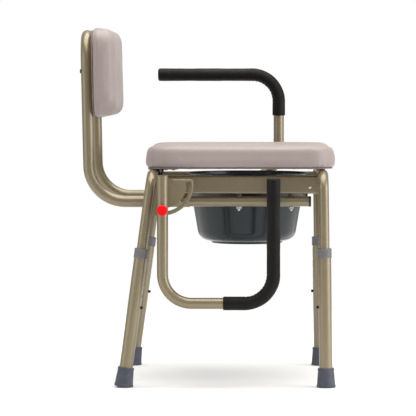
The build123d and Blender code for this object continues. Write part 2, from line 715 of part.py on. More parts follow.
def back_cushion():
    """Upholstered back pad."""
    width, height, thick = BACK_CUSHION
    with BuildPart() as cushion:
        with BuildSketch(back_plane(forward=BACK_TUBE / 2)):
            RectangleRounded(width, height, BACK_CORNER)
        extrude(amount=thick)
        fillet(cushion.faces().sort_by(Axis.X)[-1].edges(), BACK_FRONT_EDGE)
        fillet(cushion.faces().sort_by(Axis.X)[0].edges(), BACK_REAR_EDGE)
        with BuildSketch(back_plane(forward=BACK_TUBE / 2)):
            RectangleRounded(width - 2 * BOARD_INSET, height - 2 * BOARD_INSET, BACK_CORNER - BOARD_INSET)
        extrude(amount=BOARD_THICK, mode=Mode.SUBTRACT)
    return cushion


def back_screws():
    """Black screws through the uprights into the back board."""
    with BuildPart() as screws:
        for side in SIDES:
            with BuildSketch(back_plane(side, -BACK_TUBE / 2 - SCREW_HEAD)):
                Circle(SCREW_HEAD_RADIUS)
            extrude(amount=SCREW_HEAD)
            with BuildSketch(back_plane(side, -BACK_TUBE / 2)):
                Circle(SCREW_RADIUS)
            extrude(amount=BACK_TUBE + BOARD_THICK)
    return screws


def back_bolts():
    """Cross bolts that keep the back frame on the lower rails, each with its nut."""
    spot, half = (BACK_BOLT_X, LOWER_RAIL_HEIGHT), BACK_TUBE / 2
    with BuildPart() as bolts:
        for side in SIDES:
            peg(side, spot, RAIL_BOLT_RADIUS, LOWER_RAIL_Y - half, LOWER_RAIL_Y + half)
            peg(side, spot, NUT_RADIUS, LOWER_RAIL_Y + half, LOWER_RAIL_Y + half + BACK_BOLT_HEAD)
            peg(side, spot, NUT_RADIUS, LOWER_RAIL_Y - half - NUT_THICK, LOWER_RAIL_Y - half)
    return bolts


save(back_frame(), "back_frame")
save(back_board(), "back_board")
save(back_cushion(), "back_cushion")
save(back_screws(), "back_screws")
save(back_bolts(), "back_bolts")


# ---------------------------------------------------------------- seat
SEAT_LENGTH = SEAT_SPAN[1] - SEAT_SPAN[0]
SEAT_X = sum(SEAT_SPAN) / 2


def seat_board_outline(inset):
    """The board's outline on the current sketch."""
    with Locations((SEAT_X, 0)):
        RectangleRounded(SEAT_LENGTH - 2 * inset, SEAT_WIDTH - 2 * inset, SEAT_CORNER - inset)


def seat_board():
    """Plywood board let into the underside of the cushion."""
    long, wide = OPENING_RADII
    with BuildPart() as board:
        with BuildSketch(Plane.XY.offset(SEAT_BASE)):
            seat_board_outline(BOARD_INSET)
            with Locations((BUCKET_X, 0)):
                Ellipse(long + BOARD_INSET, wide + BOARD_INSET, mode=Mode.SUBTRACT)
        extrude(amount=BOARD_THICK)
    return board


def seat_cushion():
    """Upholstered seat pad with the commode opening through it."""
    board = seat_board().part
    with BuildPart() as cushion:
        with BuildSketch(Plane.XY.offset(SEAT_BASE)):
            seat_board_outline(0)
        extrude(amount=SEAT_THICK)
        fillet(cushion.faces().sort_by(Axis.Z)[-1].edges(), SEAT_EDGE)
        fillet(cushion.faces().sort_by(Axis.Z)[0].edges(), SEAT_LOWER_EDGE)
        with BuildSketch(Plane.XY.offset(SEAT_BASE)):
            with Locations((BUCKET_X, 0)):
                Ellipse(*OPENING_RADII)
        extrude(amount=SEAT_THICK, mode=Mode.SUBTRACT)
        add(board, mode=Mode.SUBTRACT)
    return cushion


def seat_hinge_clamps():
    """Plastic clamps that turn on the rear cross tube and carry the seat board."""
    with BuildPart() as clamps:
        for side in SIDES:
            inner, outer = CLAMP_Y - CLAMP_WIDTH / 2, CLAMP_Y + CLAMP_WIDTH / 2
            axle = (REAR_X, CROSS_HEIGHT)
            with BuildSketch(flank(side, inner)) as profile:
                with Locations(axle):
                    Circle(CLAMP_RADIUS)
                with Locations(((REAR_X + CLAMP_FOOT_END) / 2, SEAT_BASE - CLAMP_FOOT_THICK / 2)):
                    Rectangle(CLAMP_FOOT_END - REAR_X, CLAMP_FOOT_THICK)
                with Locations((REAR_X, SEAT_BASE + CLAMP_RADIUS)):
                    Rectangle(4 * CLAMP_RADIUS, 2 * CLAMP_RADIUS, mode=Mode.SUBTRACT)
                with Locations(axle):
                    Circle(LEG_TUBE / 2 + SLIDE_GAP, mode=Mode.SUBTRACT)
                with Locations((REAR_X - CLAMP_RADIUS, CROSS_HEIGHT)):
                    Rectangle(CLAMP_RADIUS, CLAMP_MOUTH, mode=Mode.SUBTRACT)
            extrude(amount=-SIDES[side] * (outer - inner))
    return clamps


def seat_clamp_screws():
    """Pan heads of the screws that go up through the clamp feet into the board."""
    spots = [(x, SIDES[side] * CLAMP_Y) for x in CLAMP_SCREW_X for side in SIDES]
    with BuildPart() as screws:
        with BuildSketch(Plane.XY.offset(SEAT_BASE - CLAMP_FOOT_THICK - CLAMP_SCREW_HEAD)):
            with Locations(*spots):
                Circle(CLAMP_SCREW_RADIUS)
        extrude(amount=CLAMP_SCREW_HEAD)
        fillet(screws.edges().group_by(Axis.Z)[0], CLAMP_SCREW_ROUNDING)
    return screws


def seat_bumpers():
    """Rubber pads under the board, over the front cross tube."""
    crown = CROSS_HEIGHT + LEG_TUBE / 2
    with BuildPart() as bumpers:
        with BuildSketch(Plane.XY.offset(crown + BUMPER_GAP)):
            with Locations(*[(FRONT_X, SIDES[side] * BUMPER_Y) for side in SIDES]):
                Circle(BUMPER_RADIUS)
        extrude(amount=SEAT_BASE - crown - BUMPER_GAP)
    return bumpers


save(seat_board(), "seat_board")
save(seat_cushion(), "seat_cushion")
save(seat_hinge_clamps(), "seat_hinge_clamps")
save(seat_clamp_screws(), "seat_clamp_screws")
save(seat_bumpers(), "seat_bumpers")


# ---------------------------------------------------------------- bucket
def bucket():
    """Moulded bucket with a flat rim that sits on the channels, and a foot ring."""
    t, rim_low = BUCKET_WALL, RAIL_TOP + BUCKET_GAP
    ring_inner, ring_outer, ring_base = FOOT_RING
    neck, neck_height = BUCKET_NECK
    heel, heel_height = BUCKET_HEEL
    with BuildPart() as pail:
        with BuildSketch(Plane.XZ) as profile:
            with BuildLine():
                Polyline(
                    (0, BUCKET_FLOOR), (ring_inner, BUCKET_FLOOR), (ring_inner, ring_base),
                    (ring_outer, ring_base), (ring_outer + 2, BUCKET_FLOOR), BUCKET_HEEL, BUCKET_NECK,
                    (neck, rim_low), (BUCKET_RIM_RADIUS, rim_low), (BUCKET_RIM_RADIUS, rim_low + BUCKET_RIM),
                    (neck - t, rim_low + BUCKET_RIM), (neck - t, neck_height),
                    (heel - t, heel_height + t), (0, BUCKET_FLOOR + t), close=True)
            make_face()
            for inward in (0, t):
                corner = Vector(heel - inward, heel_height + inward, 0)
                fillet(profile.vertices().sort_by_distance(corner)[0], BUCKET_HEEL_ROUNDING - inward)
        revolve(axis=Axis.Z)
    with BuildPart() as placed:
        add(pail.part.moved(Location((BUCKET_X, 0, 0))))
    return placed


save(bucket(), "bucket")
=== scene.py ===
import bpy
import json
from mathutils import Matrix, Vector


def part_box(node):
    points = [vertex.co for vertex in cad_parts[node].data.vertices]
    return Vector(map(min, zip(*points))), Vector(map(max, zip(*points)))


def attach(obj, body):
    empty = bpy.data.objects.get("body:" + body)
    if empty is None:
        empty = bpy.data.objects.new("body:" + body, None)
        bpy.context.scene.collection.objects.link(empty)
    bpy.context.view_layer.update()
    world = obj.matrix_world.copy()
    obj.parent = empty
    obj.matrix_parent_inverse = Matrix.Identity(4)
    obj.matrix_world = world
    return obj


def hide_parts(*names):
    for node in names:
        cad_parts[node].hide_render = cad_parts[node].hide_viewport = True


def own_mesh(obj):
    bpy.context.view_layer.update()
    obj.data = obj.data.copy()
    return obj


bl_info = {
    "name": "Drop-arm commode chair",
    "version": (1, 0, 0),
    "blender": (4, 5, 0),
    "location": "View3D > Sidebar > Chair",
    "description": "Upholstery, foam, rubber, plastics, paint and studio for a drop-arm commode chair",
    "category": "Object",
}

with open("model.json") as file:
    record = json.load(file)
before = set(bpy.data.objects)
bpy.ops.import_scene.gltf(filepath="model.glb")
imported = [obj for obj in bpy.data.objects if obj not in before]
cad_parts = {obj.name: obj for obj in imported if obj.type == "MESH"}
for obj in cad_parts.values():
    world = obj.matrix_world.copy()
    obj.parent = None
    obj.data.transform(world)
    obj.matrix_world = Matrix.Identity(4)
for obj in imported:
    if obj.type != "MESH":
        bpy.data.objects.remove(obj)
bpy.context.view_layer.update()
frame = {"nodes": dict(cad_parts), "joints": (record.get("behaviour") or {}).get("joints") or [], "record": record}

import json
from math import atan2, cos, hypot, pi, radians, sin, tan

import bpy
import numpy as np
from bpy.props import FloatProperty, FloatVectorProperty, IntProperty, PointerProperty
from bpy.types import Operator, Panel, PropertyGroup

SIDES = {"left": 1.0, "right": -1.0}
ENDS = ("front", "rear")
ACROSS = np.array([0.0, 1.0, 0.0])
UP = np.array([0.0, 0.0, 1.0])


# ---------------------------------------------------------------- what the frame says
def node_box(*nodes):
    """Lowest and highest corner of one or more of the frame's nodes, as arrays."""
    corners = np.array([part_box(node) for node in nodes])
    return corners[:, 0].min(0), corners[:, 1].max(0)


def joint(name):
    """A joint of the frame by its name."""
    return next(j for j in frame["joints"] if j["name"] == name)


def unit(vector):
    """The vector scaled to a length of one."""
    vector = np.asarray(vector, float)
    return vector / np.linalg.norm(vector)


# ---------------------------------------------------------------- sizes and colours
def length(name, description, default):
    """A size in metres."""
    return FloatProperty(
        name=name, description=description, default=default, subtype="DISTANCE", unit="LENGTH", precision=5)


def colour(name, description, default):
    """A linear colour."""
    return FloatVectorProperty(
        name=name, description=description, default=default, subtype="COLOR", size=3, min=0.0, max=1.0)


def power(name, description, default):
    """A light's power in watts."""
    return FloatProperty(name=name, description=description, default=default, min=0.0)


class PadSizes(PropertyGroup):
    voxel: length("Mesh size", "Side of the even mesh that the covers are swollen on", 0.0048)
    swell: length("Largest swell", "Furthest that a cover may move when it fills", 0.0016)
    pressure: FloatProperty(name="Pressure", description="Pressure inside the covers", default=4.0, min=0.0)
    bending: FloatProperty(name="Bending", description="Stiffness of the covers", default=2.0, min=0.0)
    fill: IntProperty(name="Filling", description="Frames that a cover fills for", default=20, min=1)
    quality: IntProperty(name="Quality", description="Steps of the cloth in each frame", default=4, min=1)
    calm: IntProperty(name="Calming", description="Smoothing passes after a cover fills", default=5, min=0)
    seat_crown: length("Seat crown", "Rise of the seat between its edge and the opening", 0.0015)
    seat_edge: length("Seat edge", "Rounding of the seat's upper edge", 0.0145)
    opening_edge: length("Opening edge", "Rounding of the opening's upper edge", 0.018)
    opening_long: length("Opening length", "Half of the opening's length, front to back", 0.128)
    opening_wide: length("Opening width", "Half of the opening's width", 0.105)
    seat_corner: length("Seat corner", "Rounding of the seat's corners in plan", 0.055)
    back_corner: length("Back corner", "Rounding of the back pad's corners", 0.042)
    back_edge: length("Back edge", "Rounding of the back pad's front edge", 0.019)
    back_crown: length("Back crown", "Rise of the back pad's middle", 0.004)
    back_bulge: length("Back bulge", "How far the back pad's sides bulge", 0.0012)
    back_full: length("Back fullness", "How far the back pad's lower third stands forwards", 0.001)
    welt_groove: length("Welt groove", "Depth that the cover is drawn in along the welt", 0.0005)
    welt_setback: length("Welt setback", "From the back pad's rear face to its welt", 0.0095)
    welt: length("Welt radius", "Radius of the piped welt", 0.0014)
    reveal: length("Board reveal", "How far the boards stand proud of the covers' edges", 0.001)
    hem: length("Hem", "Width of cover folded onto a board", 0.026)
    hem_thick: length("Hem thickness", "Thickness of the folded cover", 0.0006)
    staple_pitch: length("Staple pitch", "From one staple to the next", 0.031)


class MouldedSizes(PropertyGroup):
    grip_radius: length("Grip radius", "Outer radius of the foam grips", 0.0146)
    grip_bend: length("Grip bend", "Radius of the arm's bend inside the grip", 0.062)
    sole: length("Sole", "Rubber under a leg tube", 0.006)
    foot_height: length("Foot height", "Height of a rubber foot along its leg", 0.042)
    foot_base: length("Foot base", "Radius of a foot at the floor", 0.0205)
    foot_top: length("Foot top", "Radius of a foot at its top", 0.017)
    sleeve: length("Sleeve radius", "Outer radius of the lower leg tubes", 0.0143)
    tube_wall: length("Tube wall", "Wall of the leg tubes", 0.0012)
    inner_tube: length("Inner tube radius", "Outer radius of the upper leg tubes", 0.0111)
    leg_middle: length("Leg middle", "From a foot's sole to the middle of its lower tube", 0.152)
    sleeve_end: length("Sleeve end", "From a foot's sole to the top of its lower tube", 0.298)
    collar_base: length("Collar base", "From a foot's sole to the collar's lower edge", 0.2796)
    collar_top: length("Collar top", "From a foot's sole to the collar's top", 0.300)
    collar: length("Collar radius", "Outer radius of a collar", 0.0156)
    bucket_wall: length("Bucket wall", "Wall of the bucket", 0.0026)


class MetalSizes(PropertyGroup):
    weld: length("Weld radius", "Radius of a weld bead", 0.0019)
    ripple: length("Weld ripple", "From one ripple of a weld to the next", 0.0021)
    bead: length("Stamped bead", "Half of the width of the lock plates' stamped bead", 0.0021)
    bead_inset: length("Bead inset", "From a lock plate's edge to the middle of its bead", 0.0036)
    plate_radius: length("Plate radius", "Radius of the lock plates' curved edge", 0.067)
    plate_top: length("Plate top", "Height of a lock plate above its pivot", 0.012)
    thread: length("Thread pitch", "Pitch of the rail bolts' thread", 0.001)
    wire: length("Spring wire", "Radius of the lock springs' wire", 0.0006)
    coils: IntProperty(name="Coils", description="Turns of a lock spring", default=7, min=2)
    leaf: length("Leaf thickness", "Thickness of the snap buttons' leaf springs", 0.0006)
    leaf_width: length("Leaf width", "Width of a leaf spring", 0.007)
    leaf_front: length("Leaf front", "From the leg's centre line to the button's inner face", 0.0074)
    leaf_rest: length("Leaf rest", "From the leg's centre line to the tube's far wall", -0.0086)
    leaf_seat: length("Leaf seat", "Half of the length that bears on a button", 0.004)
    leaf_fold: length("Leaf fold", "From a button down to the fold of its leaf spring", 0.042)
    leaf_tail: length("Leaf tail", "From a button up to the end of its leaf spring", 0.008)


class Colours(PropertyGroup):
    paint: colour("Paint", "Champagne paint of the tubes and rails", (0.214, 0.174, 0.102))
    vinyl: colour("Vinyl", "Upholstery vinyl", (0.305, 0.252, 0.238))
    foam: colour("Foam", "Foam of the grips", (0.0022, 0.0016, 0.0012))
    foot: colour("Feet", "Rubber of the feet", (0.048, 0.053, 0.077))
    collar: colour("Collars", "Plastic of the collars and arm caps", (0.120, 0.119, 0.124))
    bucket: colour("Bucket", "Plastic of the bucket", (0.009, 0.0145, 0.018))
    button: colour("Lock buttons", "Plastic of the lock buttons", (0.74, 0.003, 0.007))
    steel: colour("Zinc", "Zinc-plated steel", (0.62, 0.63, 0.64))
    black: colour("Black parts", "Plugs, clamps, bumpers, screws and snap buttons", (0.012, 0.012, 0.013))
    nylon: colour("Nylon", "Arm bushes", (0.68, 0.67, 0.61))
    plywood: colour("Plywood", "Boards inside the pads", (0.50, 0.33, 0.17))


class StudioSizes(PropertyGroup):
    lens: FloatProperty(name="Lens", description="Focal length of the camera in mm", default=236.8)
    distance: length("Distance", "From the chair's middle to the camera", 6.115)
    height: length("Camera height", "Height of the camera", 0.6397)
    beside: length("Camera position", "Place of the camera along the chair", 0.084)
    down: FloatProperty(name="Tilt", description="Camera's tilt", default=radians(2.47), subtype="ANGLE")
    turn: FloatProperty(name="Turn", description="Camera's turn", default=radians(0.796), subtype="ANGLE")
    front: power("Front light", "Power of the light before the chair", 85.0)
    rear: power("Rear light", "Power of the light behind the chair", 28.0)
    top: power("Top light", "Power of the light overhead", 132.0)
    ambient: FloatProperty(name="Ambient", description="Strength of the room's own light", default=0.49)


GROUPS = {
    "pads": PadSizes, "moulded": MouldedSizes, "metal": MetalSizes, "colours": Colours, "studio": StudioSizes,
}


# ---------------------------------------------------------------- surfaces
def grid_shell(points, wrap_along=False, wrap_round=True, start_cap=None, end_cap=None):
    """Closed shell from a grid of points: rows run along the shape and columns run round it.

    Each cell is a quad. A cap is a point that the first or last row closes onto with triangles.
    """
    rows, columns = points.shape[:2]
    index = np.arange(rows * columns).reshape(rows, columns)
    low = index if wrap_along else index[:-1]
    high = np.roll(index, -1, 0) if wrap_along else index[1:]
    corners = [low, np.roll(low, -1, 1), np.roll(high, -1, 1), high]
    if not wrap_round:
        corners = [c[:, :-1] for c in corners]
    vertices = points.reshape(-1, 3)
    triangles = np.empty((0, 3), int)
    for row, cap, order in ((index[0], start_cap, (0, 2, 1)), (index[-1], end_cap, (0, 1, 2))):
        if cap is not None:
            centre = np.full(columns, len(vertices))
            vertices = np.vstack([vertices, cap])
            fan = np.stack([centre, row, np.roll(row, -1)], -1)
            triangles = np.vstack([triangles, fan[:, order]])
    return outward(vertices, np.stack(corners, -1).reshape(-1, 4), triangles)


def outward(vertices, quads, triangles):
    """The shell with its faces turned out: the volume that its faces enclose is made positive."""
    every = np.vstack([quads[:, [0, 1, 2]], quads[:, [0, 2, 3]], triangles])
    a, b, c = (vertices[every[:, i]] - vertices.mean(0) for i in range(3))
    if np.einsum("ij,ij->i", a, np.cross(b, c)).sum() < 0:
        quads, triangles = quads[:, ::-1], triangles[:, ::-1]
    return vertices, quads, triangles


def points_of(mesh):
    """A mesh's points as rows of x, y and z."""
    points = np.empty(len(mesh.vertices) * 3)
    mesh.vertices.foreach_get("co", points)
    return points.reshape(-1, 3)


def put_piece(name, shells, slot, sharp=35.0):
    """One mesh object made of shells in a slot's finish, smooth but for edges sharper than an angle
    in degrees."""
    vertices, faces, count = [], [], 0
    for points, quads, triangles in shells:
        vertices.append(points)
        faces += (quads + count).tolist() + (triangles + count).tolist()
        count += len(points)
    mesh = bpy.data.meshes.new(name)
    mesh.from_pydata(np.vstack(vertices), [], faces)
    mesh.polygons.foreach_set("use_smooth", np.ones(len(faces), bool))
    mesh.set_sharp_from_angle(angle=radians(sharp))
    mesh.materials.append(finish_for(slot))
    piece = bpy.data.objects.new(name, mesh)
    bpy.context.scene.collection.objects.link(piece)
    return piece


def soft_outline(corners, steps=7, closed=False):
    """Points through corners (x, y, rounding), each corner replaced by a circular arc of its rounding."""
    spots = np.array([c[:2] for c in corners], float)
    outline = []
    for i, (_, _, rounding) in enumerate(corners):
        inner = closed or 0 < i < len(corners) - 1
        if not (rounding and inner):
            outline.append(spots[i:i + 1])
            continue
        back, ahead = unit(spots[i - 1] - spots[i]), unit(spots[(i + 1) % len(spots)] - spots[i])
        half = np.arccos(np.clip(back @ ahead, -1, 1)) / 2
        centre = spots[i] + unit(back + ahead) * rounding / sin(half)
        first = spots[i] + back * rounding / tan(half) - centre
        last = spots[i] + ahead * rounding / tan(half) - centre
        sweep = pi - 2 * half
        t = np.linspace(0, 1, steps)[:, None]
        outline.append(centre + (np.sin((1 - t) * sweep) * first + np.sin(t * sweep) * last) / sin(sweep))
    return np.vstack(outline)


def evenly(points, count, closed=True):
    """The same line with its points spaced evenly along its length."""
    line = np.vstack([points, points[:1]]) if closed else points
    reach = np.concatenate([[0], np.cumsum(np.linalg.norm(np.diff(line, axis=0), axis=1))])
    at = np.linspace(0, reach[-1], count, endpoint=not closed)
    return np.stack([np.interp(at, reach, line[:, k]) for k in range(line.shape[1])], -1)


def rounded_rectangle(long, wide, corner, count, inset=0.0):
    """Points round a rectangle with rounded corners, centred on 0, and the directions out of it."""
    x, y = long / 2, wide / 2
    outline = soft_outline([(x, -y, corner), (x, y, corner), (-x, y, corner), (-x, -y, corner)], 24, True)
    outline = evenly(outline, count)
    ahead = np.roll(outline, -1, 0) - np.roll(outline, 1, 0)
    out = np.stack([ahead[:, 1], -ahead[:, 0]], -1)
    out /= np.linalg.norm(out, axis=1)[:, None]
    return outline - out * inset, out


def turned(profile, foot, axis, columns=72, closed=False, flute=None):
    """Profile of (radius, height) turned about an axis: point = foot + height * axis + radius * spoke.

    A profile that starts or ends at radius 0 closes onto the axis. flute(angle, radius, height) may
    change the radius round the turn.
    """
    axis = unit(axis)
    side = unit(np.cross(axis, UP if abs(axis[2]) < 0.9 else ACROSS))
    third = np.cross(axis, side)
    angle = np.linspace(0, 2 * pi, columns, endpoint=False)
    spoke = np.cos(angle)[:, None] * side + np.sin(angle)[:, None] * third
    caps = [None, None]
    for i, end in enumerate((0, -1)):
        if not closed and profile[end, 0] < 1e-9:
            caps[i] = foot + profile[end, 1] * axis
    body = profile[1 if caps[0] is not None else 0:len(profile) - (caps[1] is not None)]
    radius = np.repeat(body[:, :1], columns, 1)
    if flute:
        radius = flute(angle[None, :], radius, body[:, 1:2])
    points = foot + body[:, 1][:, None, None] * axis + radius[..., None] * spoke[None]
    return grid_shell(points, wrap_along=closed, start_cap=caps[0], end_cap=caps[1])


def carried(path, across, radii, columns=24, closed=False, squash=1.0):
    """Round section carried along a flat path: point = path + radius * (cos a * normal + sin a * across).

    across is the direction square to the path's plane, radii holds one radius for each path point,
    and squash flattens the section along the normal. An open path is closed with a cap at each end.
    """
    if closed:
        ahead = np.roll(path, -1, 0) - np.roll(path, 1, 0)
    else:
        ahead = np.gradient(path, axis=0)
    normal = np.cross(ahead, across)
    normal /= np.linalg.norm(normal, axis=1)[:, None]
    angle = np.linspace(0, 2 * pi, columns, endpoint=False)[None, :, None]
    ring = squash * np.cos(angle) * normal[:, None] + np.sin(angle) * np.asarray(across)[None, None]
    points = path[:, None] + np.broadcast_to(radii, len(path))[:, None, None] * ring
    if closed:
        return grid_shell(points, wrap_along=True)
    return grid_shell(points, start_cap=path[0], end_cap=path[-1])


def ends_rounded(count, radius, share_of_ends=0.12):
    """Radii along a bead that fall to nothing at both ends along a quarter circle."""
    t = np.linspace(0, 1, count)
    near = np.clip(np.minimum(t, 1 - t) / share_of_ends, 0, 1)
    return radius * np.sqrt(np.clip(1 - (1 - near) ** 2, 0.0004, 1))


# ---------------------------------------------------------------- finishes
class Finish:
    """A material with one Principled shader; its patterns read the piece's Object coordinates."""

    def __init__(self, name, tint, roughness, **even):
        self.material = bpy.data.materials.new(name)
        self.material.use_nodes = True
        self.material.diffuse_color = (*tint, 1.0)
        self.tree = self.material.node_tree
        self.shader = self.tree.nodes["Principled BSDF"]
        self.shader.inputs["Base Color"].default_value = (*tint, 1.0)
        self.shader.inputs["Roughness"].default_value = roughness
        for socket, value in even.items():
            self.shader.inputs[socket.replace("_", " ")].default_value = value
        self.place = self.tree.nodes.new("ShaderNodeTexCoord").outputs["Object"]
        self.last_normal = None

    def stretched(self, scale):
        """Object coordinates scaled by different amounts along X, Y and Z."""
        mapping = self.tree.nodes.new("ShaderNodeMapping")
        mapping.inputs["Scale"].default_value = scale
        self.tree.links.new(self.place, mapping.inputs["Vector"])
        return mapping.outputs["Vector"]

    def noise(self, scale, detail=3.0, place=None, distortion=0.0):
        """Cloudy pattern; scale is in patches per metre."""
        node = self.tree.nodes.new("ShaderNodeTexNoise")
        node.inputs["Scale"].default_value = scale
        node.inputs["Detail"].default_value = detail
        node.inputs["Distortion"].default_value = distortion
        self.tree.links.new(place or self.place, node.inputs["Vector"])
        return node.outputs["Fac"]

    def cells(self, scale, feature="F1"):
        """Cellular pattern; scale is in cells per metre."""
        node = self.tree.nodes.new("ShaderNodeTexVoronoi")
        node.feature = feature
        node.inputs["Scale"].default_value = scale
        self.tree.links.new(self.place, node.inputs["Vector"])
        return node.outputs["Distance"]

    def rings(self, scale, distortion, place=None):
        """Bands across X; scale is in bands per metre."""
        node = self.tree.nodes.new("ShaderNodeTexWave")
        node.inputs["Scale"].default_value = scale
        node.inputs["Distortion"].default_value = distortion
        node.inputs["Detail"].default_value = 3.0
        self.tree.links.new(place or self.place, node.inputs["Vector"])
        return node.outputs["Fac"]

    def between(self, pattern, low, high, start=0.3, end=0.7):
        """Colour from low to high as the pattern goes from start to end."""
        ramp = self.tree.nodes.new("ShaderNodeValToRGB")
        ramp.color_ramp.elements[0].position, ramp.color_ramp.elements[1].position = start, end
        ramp.color_ramp.elements[0].color, ramp.color_ramp.elements[1].color = (*low, 1), (*high, 1)
        self.tree.links.new(pattern, ramp.inputs["Fac"])
        return ramp.outputs["Color"]

    def multiply(self, first, second):
        """Product of two colours."""
        node = self.tree.nodes.new("ShaderNodeMix")
        node.data_type, node.blend_type = "RGBA", "MULTIPLY"
        node.inputs["Factor"].default_value = 1.0
        self.tree.links.new(first, node.inputs[6])
        self.tree.links.new(second, node.inputs[7])
        return node.outputs[2]

    def tint(self, source):
        """Takes the base colour from a pattern."""
        self.tree.links.new(source, self.shader.inputs["Base Color"])

    def gloss(self, pattern, smooth, rough):
        """Roughness from smooth to rough as the pattern goes from low to high."""
        node = self.tree.nodes.new("ShaderNodeMapRange")
        node.inputs["From Min"].default_value, node.inputs["From Max"].default_value = 0.3, 0.7
        node.inputs["To Min"].default_value, node.inputs["To Max"].default_value = smooth, rough
        self.tree.links.new(pattern, node.inputs["Value"])
        self.tree.links.new(node.outputs["Result"], self.shader.inputs["Roughness"])

    def relief(self, pattern, height, strength=1.0):
        """Adds a relief of a height in metres to the surface."""
        node = self.tree.nodes.new("ShaderNodeBump")
        node.inputs["Distance"].default_value = height
        node.inputs["Strength"].default_value = strength
        self.tree.links.new(pattern, node.inputs["Height"])
        if self.last_normal:
            self.tree.links.new(self.last_normal, node.inputs["Normal"])
        self.last_normal = node.outputs["Normal"]
        self.tree.links.new(self.last_normal, self.shader.inputs["Normal"])


def shade(tint, factor):
    """A colour made darker or lighter."""
    return tuple(min(1.0, factor * c) for c in tint)


def champagne_paint(tint):
    """Metallic paint: fine flakes, clouds of tone, orange peel and faint rub marks."""
    finish = Finish("champagne_paint", tint, 0.4, Metallic=0.5, Coat_Weight=0.6, Coat_Roughness=0.2)
    flakes = finish.between(finish.noise(1500.0, 2.0), shade(tint, 0.88), shade(tint, 1.12))
    clouds = finish.between(finish.noise(9.0, 4.0), (0.93, 0.93, 0.93), (1.0, 1.0, 1.0))
    finish.tint(finish.multiply(flakes, clouds))
    finish.gloss(finish.noise(38.0, 6.0, distortion=0.6), 0.34, 0.44)
    finish.relief(finish.noise(420.0, 2.0), 0.00005, 0.6)
    return finish.material


def upholstery_vinyl(tint):
    """Soft vinyl: pebbled grain in creased cells with painted shade darkening the creases, soft clouds of tone and
    a dull sheen.
    """
    finish = Finish(
        "upholstery_vinyl", tint, 0.46, Sheen_Weight=0.12, Sheen_Roughness=0.5, Specular_IOR_Level=0.42)
    pebbles = finish.cells(760.0, "DISTANCE_TO_EDGE")
    clouds = finish.between(finish.noise(7.0, 4.0), shade(tint, 0.955), shade(tint, 1.03))
    # Painted shade: the colour darkens along the grain's sunken creases between the pebbles.
    crease_shade = finish.between(pebbles, (0.87, 0.86, 0.86), (1, 1, 1), 0.0, 0.16)
    finish.tint(finish.multiply(clouds, crease_shade))
    finish.gloss(finish.noise(22.0, 3.0), 0.42, 0.52)
    finish.relief(pebbles, 0.00016, 0.55)
    finish.relief(finish.noise(60.0, 3.0), 0.0006, 0.35)
    return finish.material


def grip_foam(tint):
    """Fine-celled foam: pitted skin with lighter specks and scuffs."""
    finish = Finish(
        "grip_foam", tint, 0.62, Sheen_Weight=0.02, Sheen_Roughness=0.45, Specular_IOR_Level=0.2)
    specks = finish.between(finish.noise(2300.0, 2.0), shade(tint, 0.75), shade(tint, 1.7), 0.35, 0.75)
    clouds = finish.between(finish.noise(26.0, 4.0), (0.8, 0.8, 0.8), (1.0, 1.0, 1.0))
    finish.tint(finish.multiply(specks, clouds))
    finish.gloss(finish.noise(30.0, 4.0), 0.52, 0.68)
    finish.relief(finish.cells(1700.0), 0.00022, 0.5)
    return finish.material


def foot_rubber(tint):
    """Blue-grey rubber with a dusty, slightly mottled skin."""
    finish = Finish("foot_rubber", tint, 0.55)
    finish.tint(finish.between(finish.noise(110.0, 5.0), shade(tint, 0.86), shade(tint, 1.14)))
    finish.gloss(finish.noise(60.0, 4.0), 0.48, 0.66)
    finish.relief(finish.noise(900.0, 3.0), 0.00012, 0.5)
    return finish.material


def moulded_plastic(name, tint, roughness, grain=1400.0, shine=0.5):
    """Moulded plastic with a fine spark-eroded grain and a trace of flow in its tone."""
    finish = Finish(name, tint, roughness, Specular_IOR_Level=shine)
    finish.tint(finish.between(finish.noise(75.0, 4.0, distortion=1.2), shade(tint, 0.93), shade(tint, 1.07)))
    finish.gloss(finish.noise(180.0, 3.0), roughness - 0.05, roughness + 0.07)
    finish.relief(finish.noise(grain, 2.0), 0.00006, 0.5)
    return finish.material


def bucket_plastic(tint):
    """Glossy polypropylene: faint flow lines up the wall that double as painted reflection streaks, slight ripple
    and fine scuffs.
    """
    finish = Finish(
        "bucket_plastic", tint, 0.22, IOR=1.5, Specular_IOR_Level=0.28, Coat_Weight=0.06, Coat_Roughness=0.08)
    # Lighter and darker streaks up the wall: moulding flow lines and, in part, painted reflections of the soft
    # boxes.
    flow_and_reflection_streaks = finish.noise(30.0, 5.0, finish.stretched((1.0, 1.0, 0.12)))
    finish.tint(finish.between(flow_and_reflection_streaks, shade(tint, 0.8), shade(tint, 1.35)))
    finish.gloss(finish.noise(140.0, 5.0), 0.16, 0.27)
    finish.relief(finish.noise(22.0, 2.0, finish.stretched((1.0, 1.0, 0.35))), 0.0012, 0.22)
    return finish.material


def zinc_plate(tint):
    """Bright zinc plate: blotched passivation and fine drawn lines."""
    finish = Finish("zinc_plate", tint, 0.3, Metallic=1.0)
    finish.tint(finish.between(finish.noise(260.0, 4.0), shade(tint, 0.82), (0.70, 0.69, 0.62)))
    finish.gloss(finish.noise(500.0, 3.0), 0.22, 0.40)
    finish.relief(finish.noise(1800.0, 2.0), 0.00003, 0.5)
    return finish.material


def black_oxide(tint):
    """Blackened steel, worn a little grey."""
    finish = Finish("black_oxide", tint, 0.42, Metallic=0.8)
    finish.tint(finish.between(finish.noise(420.0, 4.0), shade(tint, 0.9), shade(tint, 3.0), 0.45, 0.8))
    finish.gloss(finish.noise(300.0, 3.0), 0.34, 0.5)
    finish.relief(finish.noise(1500.0, 2.0), 0.00004, 0.5)
    return finish.material


